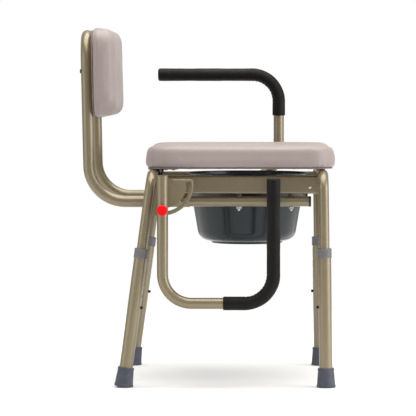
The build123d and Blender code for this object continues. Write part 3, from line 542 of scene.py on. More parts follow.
def plywood_veneer(tint):
    """Birch veneer: long bands of grain across the chair, pores and a raw, dull surface."""
    finish = Finish("plywood_veneer", tint, 0.62)
    along = finish.stretched((1.0, 0.10, 1.0))
    bands = finish.between(finish.rings(24.0, 9.0, along), shade(tint, 0.90), shade(tint, 1.06), 0.1, 0.9)
    pores = finish.between(finish.noise(900.0, 3.0, along), (0.80, 0.78, 0.74), (1, 1, 1), 0.36, 0.56)
    finish.tint(finish.multiply(bands, pores))
    finish.gloss(finish.noise(70.0, 3.0, along), 0.56, 0.70)
    finish.relief(finish.noise(900.0, 3.0, along), 0.00015, 0.5)
    return finish.material


MADE = {}


def finish_for(slot):
    """The material of one of the record's slots, made once."""
    tints = bpy.context.scene.chair_colours
    makers = {
        "frame_paint": lambda: champagne_paint(tints.paint),
        "vinyl": lambda: upholstery_vinyl(tints.vinyl),
        "grip_foam": lambda: grip_foam(tints.foam),
        "foot_rubber": lambda: foot_rubber(tints.foot),
        "grey_plastic": lambda: moulded_plastic("grey_plastic", tints.collar, 0.42),
        # Black plastic also colours the rail spacers, dark as painted shade in the gap under the rails.
        "black_plastic": lambda: moulded_plastic("black_plastic", tints.black, 0.34),
        "bumper_rubber": lambda: moulded_plastic("bumper_rubber", shade(tints.black, 1.6), 0.66, 800.0),
        "red_plastic": lambda: moulded_plastic("red_plastic", tints.button, 0.36, 900.0, 0.15),
        "nylon": lambda: moulded_plastic("nylon", tints.nylon, 0.4),
        "bucket_plastic": lambda: bucket_plastic(tints.bucket),
        "zinc_steel": lambda: zinc_plate(tints.steel),
        "black_steel": lambda: black_oxide(tints.black),
        "plywood": lambda: plywood_veneer(tints.plywood),
    }
    if slot not in MADE:
        MADE[slot] = makers[slot]()
    return MADE[slot]


# ---------------------------------------------------------------- swollen covers
def swell(piece, held, cap):
    """Fills a cover: an even remesh, cloth under inner pressure with some points held and no point
    moved further than the cap, a little smoothing, then one subdivision."""
    sizes = bpy.context.scene.chair_pads
    bpy.context.view_layer.objects.active = piece
    even = piece.modifiers.new("even", "REMESH")
    even.mode, even.voxel_size, even.use_smooth_shade = "VOXEL", sizes.voxel, True
    bpy.ops.object.modifier_apply(modifier="even")
    mesh = piece.data
    start = points_of(mesh)
    group = piece.vertex_groups.new(name="held")
    group.add(np.flatnonzero(held(start)).tolist(), 1.0, "REPLACE")
    cloth = piece.modifiers.new("fill", "CLOTH")
    cloth.settings.use_pressure = True
    cloth.settings.uniform_pressure_force = sizes.pressure
    cloth.settings.vertex_group_mass = "held"
    cloth.settings.effector_weights.gravity = 0.0
    cloth.settings.quality = sizes.quality
    cloth.settings.bending_stiffness = sizes.bending
    for number in range(1, sizes.fill + 1):
        bpy.context.scene.frame_set(number)
    filled = piece.evaluated_get(bpy.context.evaluated_depsgraph_get()).to_mesh()
    move = points_of(filled) - start
    far = np.linalg.norm(move, axis=1, keepdims=True)
    capped = start + move * np.minimum(1.0, cap / np.maximum(far, 1e-9))
    piece.modifiers.remove(cloth)
    piece.vertex_groups.remove(group)
    bpy.context.scene.frame_set(1)
    mesh.vertices.foreach_set("co", capped.ravel())
    mesh.update()
    calm = piece.modifiers.new("calm", "SMOOTH")
    calm.factor, calm.iterations = 0.5, sizes.calm
    bpy.ops.object.modifier_apply(modifier="calm")
    finer = piece.modifiers.new("finer", "SUBSURF")
    finer.levels = finer.render_levels = 1
    bpy.ops.object.modifier_apply(modifier="finer")
    mesh.polygons.foreach_set("use_smooth", np.ones(len(mesh.polygons), bool))


def move_points(piece, shift):
    """Moves a piece's points by shift(points), an array of the same shape."""
    points = points_of(piece.data)
    piece.data.vertices.foreach_set("co", (points + shift(points)).ravel())
    piece.data.update()


def strip(inner, outer, low, high, plane):
    """Flat band between two outlines: its section is a thin rectangle with rounded long edges.

    plane(points, height) sets flat points at a height from the plane.
    """
    side, lip = 0.04, 0.3
    across = np.array([0.0, side, 1 - side, 1.0, 1.0, 1 - side, side, 0.0])
    height = np.array([lip, 0.0, 0.0, lip, 1 - lip, 1.0, 1.0, 1 - lip])
    flat = inner[:, None] + (outer - inner)[:, None] * across[None, :, None]
    return grid_shell(plane(flat, low + (high - low) * height[None, :]), wrap_along=True)


def staple(spot, along, out):
    """Crown of a driven staple: a short piece of wire whose ends dip into the board."""
    half, rise, dip, wire = 0.0058, 0.0006, 0.0002, 0.00045
    t = np.linspace(-1, 1, 9)[:, None]
    path = spot + half * t * along + (rise * (1 - t ** 6) - dip) * out
    return carried(path, np.cross(along, out), wire, 8)


def staples(outline, out_ways, inset, pitch, plane, height, face):
    """Staples in a row inside an outline, each turned and shifted a little, as if set by hand."""
    turn_by, shift_by = 0.22, 0.0015
    reach = np.linalg.norm(np.roll(outline, -1, 0) - outline, axis=1).sum()
    count = int(reach / pitch)
    picks = (np.arange(count) * len(outline) / count).astype(int)
    scatter = np.random.default_rng(7).uniform(-1, 1, (count, 2))
    shells = []
    for pick, (turn, drift) in zip(picks, scatter):
        out = out_ways[pick]
        along = np.array([-out[1], out[0]]) + turn_by * turn * out
        spot = outline[pick] - out * (inset + shift_by * drift)
        ends = plane(np.array([spot, spot + along]), np.full(2, height))
        shells.append(staple(ends[0], unit(ends[1] - ends[0]), face))
    return shells


# ---------------------------------------------------------------- seat
def seat_lines(count, inset=0.0, widen=0.0):
    """Outer edge of the seat, edge of its opening and the ways out of each, at matching angles."""
    sizes = bpy.context.scene.chair_pads
    low, high = node_box("seat_cushion")
    centre = np.array([(low[0] + high[0]) / 2, 0.0])
    bucket_low, bucket_high = node_box("bucket")
    hole = np.array([(bucket_low[0] + bucket_high[0]) / 2, 0.0])
    outer, out = rounded_rectangle(high[0] - low[0], high[1] - low[1], sizes.seat_corner, count, inset)
    outer = outer + centre
    opening = np.array([sizes.opening_long, sizes.opening_wide])
    angle = np.arctan2(*((outer - hole) / opening).T[::-1])
    radii = opening + widen
    inner = hole + radii * np.stack([np.cos(angle), np.sin(angle)], -1)
    inner_out = np.stack([np.cos(angle) / radii[0], np.sin(angle) / radii[1]], -1)
    inner_out /= np.linalg.norm(inner_out, axis=1)[:, None]
    return outer, out, inner, inner_out


def seat_shell():
    """Ring-shaped pad. Each section, from the opening to the outer edge, is a rounded box whose ends
    keep their size while its middle stretches; the top rises by crown * sqrt(4 a (1 - a)) across it."""
    sizes = bpy.context.scene.chair_pads
    low, high = node_box("seat_cushion")
    height = high[2] - low[2] - sizes.reveal - sizes.seat_crown
    shrink = 0.0004
    outer, _, inner, _ = seat_lines(260, inset=shrink, widen=shrink)
    nominal, margin, taper = 0.1, 0.024, 0.0008
    section = evenly(soft_outline([
        (0.0, 0.0, 0.004), (0.0, height, sizes.opening_edge), (nominal, height, sizes.seat_edge),
        (nominal - taper, 0.0, 0.005),
    ], 9, True), 110)
    part = np.clip((section[:, 0] - margin) / (nominal - 2 * margin), 0, 1)
    fixed = section[:, 0] - part * nominal
    wide = np.linalg.norm(outer - inner, axis=1)
    ways = (outer - inner) / wide[:, None]
    reach = part[None, :] * wide[:, None] + fixed[None, :]
    flat = inner[:, None] + ways[:, None] * reach[..., None]
    lifted = (section[:, 1] > height * 0.8) * sizes.seat_crown * np.sqrt(4 * part * (1 - part))
    level = low[2] + sizes.reveal + section[:, 1] + lifted
    points = np.concatenate([flat, np.broadcast_to(level[None, :, None], flat.shape[:2] + (1,))], -1)
    return grid_shell(points, wrap_along=True)


def corner_gathers(points):
    """Small folds where the cover is pulled round the seat's corners: a wave round each corner that
    grows towards the lower edge."""
    depth, folds, band, above = 0.0009, 22, 0.008, 0.004
    low, high = node_box("seat_cushion")
    corner = bpy.context.scene.chair_pads.seat_corner
    centre = (low + high) / 2
    half = (high - low) / 2
    offset = np.abs(points[:, :2] - centre[:2]) - (half[:2] - corner)
    away = np.linalg.norm(np.clip(offset, 0, None), axis=1)
    inside = (offset.min(1) > 0) & (away > corner - band)
    angle = np.arctan2(np.clip(offset[:, 1], 0, None), np.clip(offset[:, 0], 1e-6, None))
    fade = np.sin(2 * np.clip(angle, 0, pi / 2)) ** 2
    lower = np.clip((centre[2] + above - points[:, 2]) / half[2], 0, 1) ** 1.3
    wave = depth * np.sin(angle * folds) * fade * lower * inside
    way = np.sign(points[:, :2] - centre[:2]) * np.clip(offset, 0, None) / np.maximum(away, 1e-6)[:, None]
    return np.concatenate([way * wave[:, None], np.zeros((len(points), 1))], 1)


class CHAIR_OT_seat_pad(Operator):
    """Upholstered seat pad with the commode opening through it"""
    bl_idname = "chair.seat_pad"
    bl_label = "Seat pad"

    def execute(self, context):
        held_below = node_box("seat_cushion")[0][2] + 0.0035
        pad = put_piece("seat_pad", [seat_shell()], "vinyl", 180.0)
        swell(pad, lambda points: points[:, 2] < held_below, context.scene.chair_pads.swell)
        move_points(pad, corner_gathers)
        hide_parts("seat_cushion")
        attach(pad, "seat")
        return {"FINISHED"}


class CHAIR_OT_seat_underside(Operator):
    """Hems of the seat cover and the staples that hold them to the board"""
    bl_idname = "chair.seat_underside"
    bl_label = "Seat hems and staples"

    def execute(self, context):
        sizes = context.scene.chair_pads
        base = node_box("seat_board")[0][2]
        count, waves, uneven = 300, 10, 0.0012
        fold, sunk, staple_row = 0.004, 0.0006, 0.015
        wander = np.random.default_rng(3).normal(0, 1, (2, 24))
        turns = np.linspace(0, 2 * pi, count, endpoint=False)
        rough = uneven * sum(
            (wander[0, k] * np.cos((k + 2) * turns) + wander[1, k] * np.sin((k + 2) * turns)) / (k + 2) ** 0.7
            for k in range(waves))[:, None]

        def under(flat, height):
            return np.concatenate([flat, np.broadcast_to(base - height, flat.shape[:-1])[..., None]], -1)

        edge, out, hole, hole_out = seat_lines(count, inset=fold, widen=fold)
        far, _, wide_hole, _ = seat_lines(count, inset=sizes.hem, widen=sizes.hem)
        thick = sizes.hem_thick
        hems = [
            strip(far + out * rough, edge, -sunk, thick, under),
            strip(hole, wide_hole + hole_out * rough, -sunk, thick, under),
        ]
        piece = put_piece("seat_hems", hems, "vinyl")
        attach(piece, "seat")
        shells = staples(edge, out, staple_row, sizes.staple_pitch, under, thick, -UP)
        shells += staples(hole, -hole_out, staple_row, sizes.staple_pitch, under, thick, -UP)
        piece = put_piece("seat_staples", shells, "zinc_steel")
        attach(piece, "seat")
        return {"FINISHED"}


# ---------------------------------------------------------------- back
def back_plane():
    """Middle of the back board's rear face and the directions across, up and forwards of the pad."""
    points = points_of(frame["nodes"]["back_board"].data)
    height = points[:, 2]
    upper, lower = points[height > np.quantile(height, 0.9)], points[height < np.quantile(height, 0.1)]
    top, foot = upper[upper[:, 0].argmin()], lower[lower[:, 0].argmin()]
    up = unit((top - foot) * (1, 0, 1))
    forward = np.cross(ACROSS, up)
    middle = (points.min(0) + points.max(0)) / 2
    middle = middle - forward * ((middle - top) @ forward)
    return middle * (1, 0, 1), up, forward


def back_thick():
    """Thickness of the back pad, from the width of its box and the lean of the back."""
    low, high = node_box("back_cushion")
    _, up, _ = back_plane()
    return (high[0] - low[0] - abs(up[0]) * (high[2] - low[2])) / up[2]


def back_outline(count, inset=0.0):
    """Rounded outline of the back pad, as (across, up) from its middle, and the ways out of it."""
    low, high = node_box("back_cushion")
    _, up, forward = back_plane()
    tall = ((high[2] - low[2]) - abs(forward[2]) * back_thick()) / up[2]
    return rounded_rectangle(high[1] - low[1], tall, bpy.context.scene.chair_pads.back_corner, count, inset)


def on_back(flat, depth):
    """Places (across, up) points of the back pad at a depth forwards of the board's rear face."""
    middle, up, forward = back_plane()
    depth = np.broadcast_to(depth, flat.shape[:-1])[..., None]
    return middle + flat[..., :1] * ACROSS + flat[..., 1:] * up + depth * forward


def back_shell():
    """Pillow: rows of rounded outlines step in round the front edge's arc, then shrink to the middle
    while the front rises by crown * (1 + cos(pi k)) / 2, with k the share of the way out."""
    sizes = bpy.context.scene.chair_pads
    thick = back_thick() - sizes.back_crown
    shrink = 0.0012
    edge = evenly(soft_outline([
        (0.016, sizes.reveal, 0), (0.0, sizes.reveal, 0.004), (0.0, thick, sizes.back_edge), (0.03, thick, 0),
    ], 9), 34, closed=False)
    flat, out = back_outline(240, shrink)
    rim = flat[None] - out[None] * edge[:, 0][:, None, None]
    share_out = np.linspace(1, 0, 26)[1:-1]
    front = rim[-1][None] * share_out[:, None, None]
    rear = rim[0][None] * share_out[::-1][:, None, None]
    rise = sizes.back_crown * (1 + np.cos(pi * share_out)) / 2
    depth = np.concatenate([np.full(len(share_out), sizes.reveal), edge[:, 1], thick + rise])
    points = on_back(np.concatenate([rear, rim, front]), depth[:, None])
    centre = np.zeros(2)
    return grid_shell(
        points, start_cap=on_back(centre, sizes.reveal), end_cap=on_back(centre, thick + sizes.back_crown))


def back_bow(points):
    """Makes the pad fuller low down at the front and draws the cover in at the welt: the front moves
    forwards by a slow rise towards its lower third, the sides bulge by bulge * (1 - k ** 2), with k
    from -1 at the rear to 1 at the front, and a narrow groove runs along the seam. Round the corners
    the way out of the pad turns smoothly from across to up."""
    sizes = bpy.context.scene.chair_pads
    fullest, fades_over, squareness = -0.03, 0.13, 8
    middle, up, forward = back_plane()
    offset = points - middle
    across, height, depth = offset @ ACROSS, offset @ up, offset @ forward
    thick = back_thick()
    lower_third = np.clip((height - fullest) / fades_over, -1, 1)
    full = sizes.back_full * np.clip(2 * depth / thick - 1, 0, 1) * np.cos(lower_third * pi / 2)
    bulge = sizes.back_bulge * (1 - np.clip(2 * depth / thick - 1, -1, 1) ** 2)
    groove = sizes.welt_groove * np.exp(-((depth - sizes.welt_setback) / sizes.welt) ** 2)
    edge = np.abs(np.stack([across / across.max(), height / height.max()], -1)) ** squareness
    share_out = edge / edge.sum(1, keepdims=True).clip(1e-9)
    out = (share_out[:, :1] * np.sign(across)[:, None] * ACROSS
           + share_out[:, 1:] * np.sign(height)[:, None] * up)
    out /= np.linalg.norm(out, axis=1)[:, None].clip(1e-9)
    return full[:, None] * forward + (bulge - groove)[:, None] * out


class CHAIR_OT_back_pad(Operator):
    """Upholstered back pad with a piped welt near its rear edge"""
    bl_idname = "chair.back_pad"
    bl_label = "Back pad"

    def execute(self, context):
        sizes = context.scene.chair_pads
        middle, _, forward = back_plane()
        pad = put_piece("back_pad", [back_shell()], "vinyl", 180.0)
        swell(pad, lambda points: (points - middle) @ forward < sizes.welt_setback + 0.001, sizes.swell)
        move_points(pad, back_bow)
        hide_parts("back_cushion")
        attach(pad, "frame")
        flat, _ = back_outline(320, 0.0008)
        welt = carried(on_back(flat, sizes.welt_setback), forward, sizes.welt, 14, closed=True)
        piece = put_piece("back_welt", [welt], "vinyl")
        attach(piece, "frame")
        return {"FINISHED"}


class CHAIR_OT_back_rear(Operator):
    """Hem of the back cover and its staples on the board"""
    bl_idname = "chair.back_rear"
    bl_label = "Back hem and staples"

    def execute(self, context):
        sizes = context.scene.chair_pads
        forward = back_plane()[2]
        count, waves, uneven = 260, 17, 0.0009
        fold, hem, sunk, staple_row = 0.004, 0.021, 0.0006, 0.011

        def behind(flat, height):
            return on_back(flat, -height)

        edge, out = back_outline(count, fold)
        far, _ = back_outline(count, hem)
        wave = uneven * np.sin(np.linspace(0, waves * 2 * pi, count))[:, None]
        band = strip(far + out * wave, edge, -sunk, sizes.hem_thick, behind)
        piece = put_piece("back_hem", [band], "vinyl")
        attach(piece, "frame")
        shells = staples(edge, out, staple_row, sizes.staple_pitch, behind, sizes.hem_thick, -forward)
        piece = put_piece("back_staples", shells, "zinc_steel")
        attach(piece, "frame")
        return {"FINISHED"}


# ---------------------------------------------------------------- foam grips
def grip_path(side, count):
    """Middle line of a grip: straight, a quarter bend and straight again, from its open to its closed end."""
    sizes = bpy.context.scene.chair_moulded
    low, high = node_box(f"{side}_arm_grip")
    r, bend = sizes.grip_radius, sizes.grip_bend
    upright = high[0] - r
    if side == "right":
        level = low[2] + r
        corners = [(low[0], level, 0), (upright, level, bend), (upright, high[2], 0)]
    else:
        level = high[2] - r
        corners = [(upright, low[2], 0), (upright, level, bend), (low[0], level, 0)]
    flat = evenly(soft_outline(corners, 60), count, closed=False)
    return np.stack([flat[:, 0], np.full(count, (low[1] + high[1]) / 2), flat[:, 1]], -1)


def grip_shell(side):
    """Foam tube carried along the arm. Its radius eases in at both ends, swells by a slow wave, and is
    wrinkled inside the bend by radius * (1 - deepest * folds), strongest where the bend is tightest."""
    sizes = bpy.context.scene.chair_moulded
    path = grip_path(side, 420)
    reach = np.concatenate([[0], np.cumsum(np.linalg.norm(np.diff(path, axis=0), axis=1))])
    to_end = reach[-1] - reach
    lip, nose, bore_depth, foam = 0.0018, 0.005, 0.012, 0.0026
    radius = np.full(len(path), sizes.grip_radius)
    for rounding, away in ((lip, reach), (nose, to_end)):
        radius -= rounding * (1 - np.sqrt(np.clip(1 - (1 - np.clip(away / rounding, 0, 1)) ** 2, 0, 1)))
    radius += 0.00018 * np.sin(reach * 62.0) + 0.00010 * np.sin(reach * 151.0 + 1.0)
    ahead = np.gradient(path, axis=0)
    ahead /= np.linalg.norm(ahead, axis=1)[:, None]
    normal = np.cross(ahead, ACROSS)
    bend = np.linalg.norm(np.gradient(ahead, axis=0), axis=1)
    bend = np.convolve(bend / bend.max(), np.ones(21) / 21, "same")
    heart = len(path) // 2
    inner_way = np.sign((path[0] + path[-1] - 2 * path[heart]) @ normal[heart])
    angle = np.linspace(0, 2 * pi, 44, endpoint=False)
    inside = np.clip(inner_way * np.cos(angle), 0, 1) ** 1.5
    deepest, folds = 0.045, (0.5 + 0.5 * np.cos(reach * 620.0)) ** 2
    wrinkle = 1 - deepest * bend[:, None] * inside[None] * folds[:, None]
    size = radius[:, None] * wrinkle
    ring = np.cos(angle)[None, :, None] * normal[:, None] + np.sin(angle)[None, :, None] * ACROSS
    skin = path[:, None] + size[..., None] * ring
    mouth = path[0] + ahead[0] * np.array([[bore_depth], [0.0]])
    hole = mouth[:, None] + (sizes.grip_radius - foam) * ring[0][None]
    return grid_shell(np.concatenate([hole, skin]), start_cap=mouth[0], end_cap=path[-1])


class CHAIR_OT_grips(Operator):
    """Foam grips over the arms' corners"""
    bl_idname = "chair.grips"
    bl_label = "Foam grips"

    def execute(self, context):
        for side in SIDES:
            piece = put_piece(f"{side}_foam_grip", [grip_shell(side)], "grip_foam", 50.0)
            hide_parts(f"{side}_arm_grip")
            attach(piece, f"{side}_arm")
        return {"FINISHED"}


# ---------------------------------------------------------------- feet and collars
def leg_line(end, side):
    """Middle of a leg's sole and the direction up its tube."""
    sizes = bpy.context.scene.chair_moulded
    up = -unit(joint(f"{end}_{side}_leg_height")["axis"])
    low, high = node_box(f"{end}_{side}_lower_leg")
    return (low + high) / 2 - up * sizes.leg_middle, up


class CHAIR_OT_feet(Operator):
    """Tapered rubber feet with ringed soles, worn level with the floor"""
    bl_idname = "chair.feet"
    bl_label = "Rubber feet"

    def execute(self, context):
        sizes = context.scene.chair_moulded
        groove, pitch, half_mouth, half_bottom, soft = 0.0012, 0.0042, 0.001, 0.0006, 0.0003
        sole = [(0.0, 0.0, 0)]
        for ring in range(1, 5):
            r = ring * pitch
            sole += [(r - half_mouth, 0.0, soft), (r - half_bottom, groove, soft)]
            sole += [(r + half_bottom, groove, soft), (r + half_mouth, 0.0, soft)]
        height, base, top = sizes.foot_height, sizes.foot_base, sizes.foot_top
        profile = soft_outline(sole + [
            (base, 0.0, 0.0012), (base, 0.005, 0.0012), (base - 0.0009, 0.0062, 0.0006),
            (top + 0.0002, height - 0.0058, 0.0005), (top + 0.0009, height - 0.0048, 0.0006),
            (top + 0.0004, height - 0.0006, 0.0008), (top - 0.0012, height, 0.0006),
            (sizes.sleeve, height, 0), (sizes.sleeve, sizes.sole, 0), (0.0, sizes.sole, 0),
        ], 5)
        for end in ENDS:
            for side in SIDES:
                foot, up = leg_line(end, side)
                shell = turned(profile, foot, up, 80)
                shell[0][:, 2] = np.maximum(shell[0][:, 2], 0.0)
                piece = put_piece(f"{end}_{side}_rubber_foot", [shell], "foot_rubber")
                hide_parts(f"{end}_{side}_foot")
                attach(piece, f"{end}_{side}_leg")
        return {"FINISHED"}


class CHAIR_OT_collars(Operator):
    """Plastic collars round the mouths of the lower tubes"""
    bl_idname = "chair.collars"
    bl_label = "Leg collars"

    def execute(self, context):
        sizes = context.scene.chair_moulded
        play, bush_length, ridge = 0.00006, 0.018, 0.0002
        sleeve, mouth, base, top = sizes.sleeve, sizes.sleeve_end, sizes.collar_base, sizes.collar_top
        bore, inside, bush = sizes.inner_tube + play, sleeve - sizes.tube_wall, top - bush_length
        low, high = sizes.collar - ridge, sizes.collar + ridge
        profile = soft_outline([
            (bore, bush, 0), (inside, bush, 0), (inside, mouth, 0), (sleeve, mouth, 0), (sleeve, base, 0),
            (low, base, 0.0006), (high, base + 0.0022, 0.0005), (low, base + 0.0028, 0.0004),
            (low, top - 0.0044, 0.0004), (high, top - 0.0038, 0.0005), (high, top - 0.0012, 0.0008),
            (sizes.collar - 0.0018, top, 0.0006), (bore, top, 0.0004),
        ], 5, closed=True)
        for end in ENDS:
            for side in SIDES:
                foot, up = leg_line(end, side)
                shell = turned(profile, foot, up, 80, closed=True)
                piece = put_piece(f"{end}_{side}_leg_collar", [shell], "grey_plastic")
                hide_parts(f"{end}_{side}_collar")
                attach(piece, f"{end}_{side}_leg")
        return {"FINISHED"}


# ---------------------------------------------------------------- bucket
class CHAIR_OT_bucket(Operator):
    """Moulded bucket with a rounded heel, a foot ring and a beaded rim"""
    bl_idname = "chair.bucket"
    bl_label = "Bucket"

    def execute(self, context):
        low, high = node_box("bucket")
        wall = context.scene.chair_moulded.bucket_wall
        rim, top = (high[0] - low[0]) / 2, high[2] - low[2]
        ring, floor, lip, taper = 0.0785, 0.005, 0.010, 0.026
        neck = rim - lip
        heel = neck - taper
        profile = soft_outline([
            (0.0, floor, 0), (ring - 0.0065, floor, 0.0008), (ring - 0.0055, 0.0, 0.0008),
            (ring, 0.0, 0.0010), (ring + 0.0018, floor, 0.0016), (heel, floor + 0.0006, 0.026),
            (neck - 0.0010, top - 0.0085, 0.004), (neck - 0.0002, top - 0.0030, 0.0012),
            (rim - 0.0022, top - 0.0030, 0.0006),
            (rim, top - 0.0022, 0.0010), (rim, top - 0.0006, 0.0009), (rim - 0.0030, top, 0.0012),
            (rim - 0.0052, top - 0.0006, 0.0016), (neck - wall + 0.0016, top - 0.0002, 0.0020),
            (neck - wall, top - 0.0085, 0.004), (heel - wall, floor + wall + 0.0006, 0.024),
            (ring - 0.0020, floor + wall, 0.004), (0.0, floor + wall * 0.9, 0),
        ], 9)
        foot = np.array([(low[0] + high[0]) / 2, (low[1] + high[1]) / 2, low[2]])
        piece = put_piece("moulded_bucket", [turned(profile, foot, UP, 160)], "bucket_plastic", 40.0)
        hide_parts("bucket")
        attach(piece, "bucket")
        return {"FINISHED"}


# ---------------------------------------------------------------- lock springs and plates
class CHAIR_OT_lock_springs(Operator):
    """Coil springs round the lock pins, inside the arm tubes"""
    bl_idname = "chair.lock_springs"
    bl_label = "Lock springs"

    def execute(self, context):
        sizes = context.scene.chair_metal
        for side in SIDES:
            low, high = node_box(f"{side}_lock_spring")
            middle, wire = (low + high) / 2, sizes.wire
            coil = (high[0] - low[0]) / 2 - wire
            steps = 28
            t = np.linspace(0, 1, sizes.coils * steps)
            turns = 2 * pi * sizes.coils * t
            dead = np.clip((t - 1 / sizes.coils) / (1 - 2 / sizes.coils), 0, 1)
            along = low[1] + wire + (high[1] - low[1] - 2 * wire) * dead
            path = np.stack([middle[0] + coil * np.cos(turns), along, middle[2] + coil * np.sin(turns)], -1)
            spoke = np.stack([np.cos(turns), np.zeros_like(turns), np.sin(turns)], -1)
            angle = np.linspace(0, 2 * pi, 10, endpoint=False)[None, :, None]
            points = path[:, None] + wire * (np.cos(angle) * spoke[:, None] + np.sin(angle) * ACROSS)
            shell = grid_shell(points, start_cap=path[0], end_cap=path[-1])
            piece = put_piece(f"{side}_coil_spring", [shell], "zinc_steel")
            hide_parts(f"{side}_lock_spring")
            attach(piece, f"{side}_arm")
            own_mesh(piece)
        return {"FINISHED"}


class CHAIR_OT_leaf_springs(Operator):
    """Folded leaf springs behind the snap buttons"""
    bl_idname = "chair.leaf_springs"
    bl_label = "Leaf springs"

    def execute(self, context):
        sizes = context.scene.chair_metal
        half = sizes.leaf / 2
        front, rest = sizes.leaf_front - half, sizes.leaf_rest + half
        route = evenly(soft_outline([
            (front, sizes.leaf_seat, 0), (front, -sizes.leaf_seat, 0.003),
            (rest, half - sizes.leaf_fold, 0.0015), (rest, sizes.leaf_tail, 0),
        ]), 90, closed=False)
        for end in ENDS:
            for side in SIDES:
                press = joint(f"{end}_{side}_snap_press")
                face = -unit(press["axis"])
                foot, up = leg_line(end, side)
                low, high = node_box(f"{end}_{side}_snap_button")
                heart = foot + up * (((low + high) / 2 - foot) @ up)
                path = heart + route[:, :1] * face + route[:, 1:] * up
                wide = np.full(len(path), sizes.leaf_width / 2)
                shell = carried(path, np.cross(face, up), wide, 16, squash=sizes.leaf / sizes.leaf_width)
                piece = put_piece(f"{end}_{side}_leaf_spring", [shell], "zinc_steel")
                if (end, side) == ("front", "left"):
                    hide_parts("snap_springs")
                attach(piece, "frame")
                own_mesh(piece)
        return {"FINISHED"}


def pivot_of(side):
    """x and z of an arm's pivot."""
    spot = joint("left_arm_drop" if side == "left" else "right_arm_raise")["pos_m"]
    return np.array([spot[0], spot[2]])


class CHAIR_OT_plate_beads(Operator):
    """Stamped stiffening beads along the lock plates' free edges"""
    bl_idname = "chair.plate_beads"
    bl_label = "Lock plate beads"

    def execute(self, context):
        sizes = context.scene.chair_metal
        start_at, bend, proud, overrun = 0.019, 0.006, 0.0011, 0.02
        for side, way in SIDES.items():
            low, high = node_box(f"{side}_lock_plate")
            face = high[1] if way > 0 else low[1]
            r, top = sizes.plate_radius - sizes.bead_inset, sizes.plate_top - sizes.bead_inset
            sweep = np.linspace(np.arcsin(top / r), -pi / 2 - overrun, 90)
            arc = pivot_of(side) + r * np.stack([np.cos(sweep), np.sin(sweep)], -1)
            start = pivot_of(side) + (start_at, top)
            corner = soft_outline([(*start, 0), (*arc[0], bend), (*arc[9], 0)], 9)
            line = evenly(np.vstack([corner, arc[10:]]), 150, closed=False)
            path = np.stack([line[:, 0], np.full(len(line), face), line[:, 1]], -1)
            radii = ends_rounded(len(path), proud, 0.02)
            shell = carried(path, ACROSS, radii, 16, squash=sizes.bead / proud)
            piece = put_piece(f"{side}_plate_bead", [shell], "frame_paint")
            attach(piece, "frame")
        return {"FINISHED"}


# ---------------------------------------------------------------- welds
def weld_bead(path, across):
    """Weld run: a round bead whose radius ripples by 1 + swing * |sin| along it and fades at its ends."""
    sizes = bpy.context.scene.chair_metal
    swing, steps, fewest = 0.16, 6, 16
    span = np.linalg.norm(np.diff(path, axis=0), axis=1).sum()
    count = max(fewest, int(span / sizes.ripple * steps))
    path = evenly(path, count, closed=False)
    ripple = 1 + swing * np.abs(np.sin(pi * np.linspace(0, span, count) / sizes.ripple))
    return carried(path, across, ends_rounded(count, sizes.weld) * ripple, 14)


class CHAIR_OT_welds(Operator):
    """Weld runs that join the rails to the cross tubes and the lock plates to the rear legs"""
    bl_idname = "chair.welds"
    bl_label = "Welds"

    def execute(self, context):
        tube = context.scene.chair_moulded.inner_tube
        past_below, clear_foot, clear_top = 0.3, 0.002, 0.001
        for side, way in SIDES.items():
            shells = []
            rail_low, rail_high = node_box(f"{side}_seat_rail")
            web = rail_high[1] if way > 0 else rail_low[1]
            inner = rail_low[1] if way > 0 else rail_high[1]
            for end, facing in (("front", -1.0), ("rear", 1.0)):
                top = node_box(f"{end}_frame")[1][2] - tube
                foot, up = leg_line(end, side)
                x = foot[0] + up[0] * (top - foot[2]) / up[2]
                drop = top - rail_high[2]
                spread = (tube ** 2 - drop ** 2) ** 0.5
                on_top = np.array([[x + facing * spread, y, rail_high[2]] for y in (inner, web)])
                shells.append(weld_bead(on_top, UP))
                sweep = np.linspace(atan2(-drop, spread), -pi / 2 - past_below, 30)
                arc = np.stack([
                    x + facing * tube * np.cos(sweep), np.full(30, web), top + tube * np.sin(sweep)], -1)
                shells.append(weld_bead(arc, ACROSS))
            plate_low, plate_high = node_box(f"{side}_lock_plate")
            foot, up = leg_line("rear", side)
            for face in (plate_low[1], plate_high[1]):
                gap = abs(face - foot[1])
                lean = np.array([up[2], 0.0, -up[0]])
                reach = (tube ** 2 - gap ** 2) ** 0.5
                levels = np.array([plate_low[2] + clear_foot, plate_high[2] - clear_top])
                line = foot + up * ((levels - foot[2]) / up[2])[:, None] + lean * reach
                line[:, 1] = face
                shells.append(weld_bead(line, ACROSS))
            piece = put_piece(f"{side}_welds", shells, "frame_paint", 60.0)
            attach(piece, "frame")
        return {"FINISHED"}


# ---------------------------------------------------------------- fasteners
def hexagon(angle, flat):
    """Distance from the centre of a hexagon to its side, at an angle; flat is to a flat's middle."""
    return flat / np.cos((angle + pi / 6) % (pi / 3) - pi / 6)


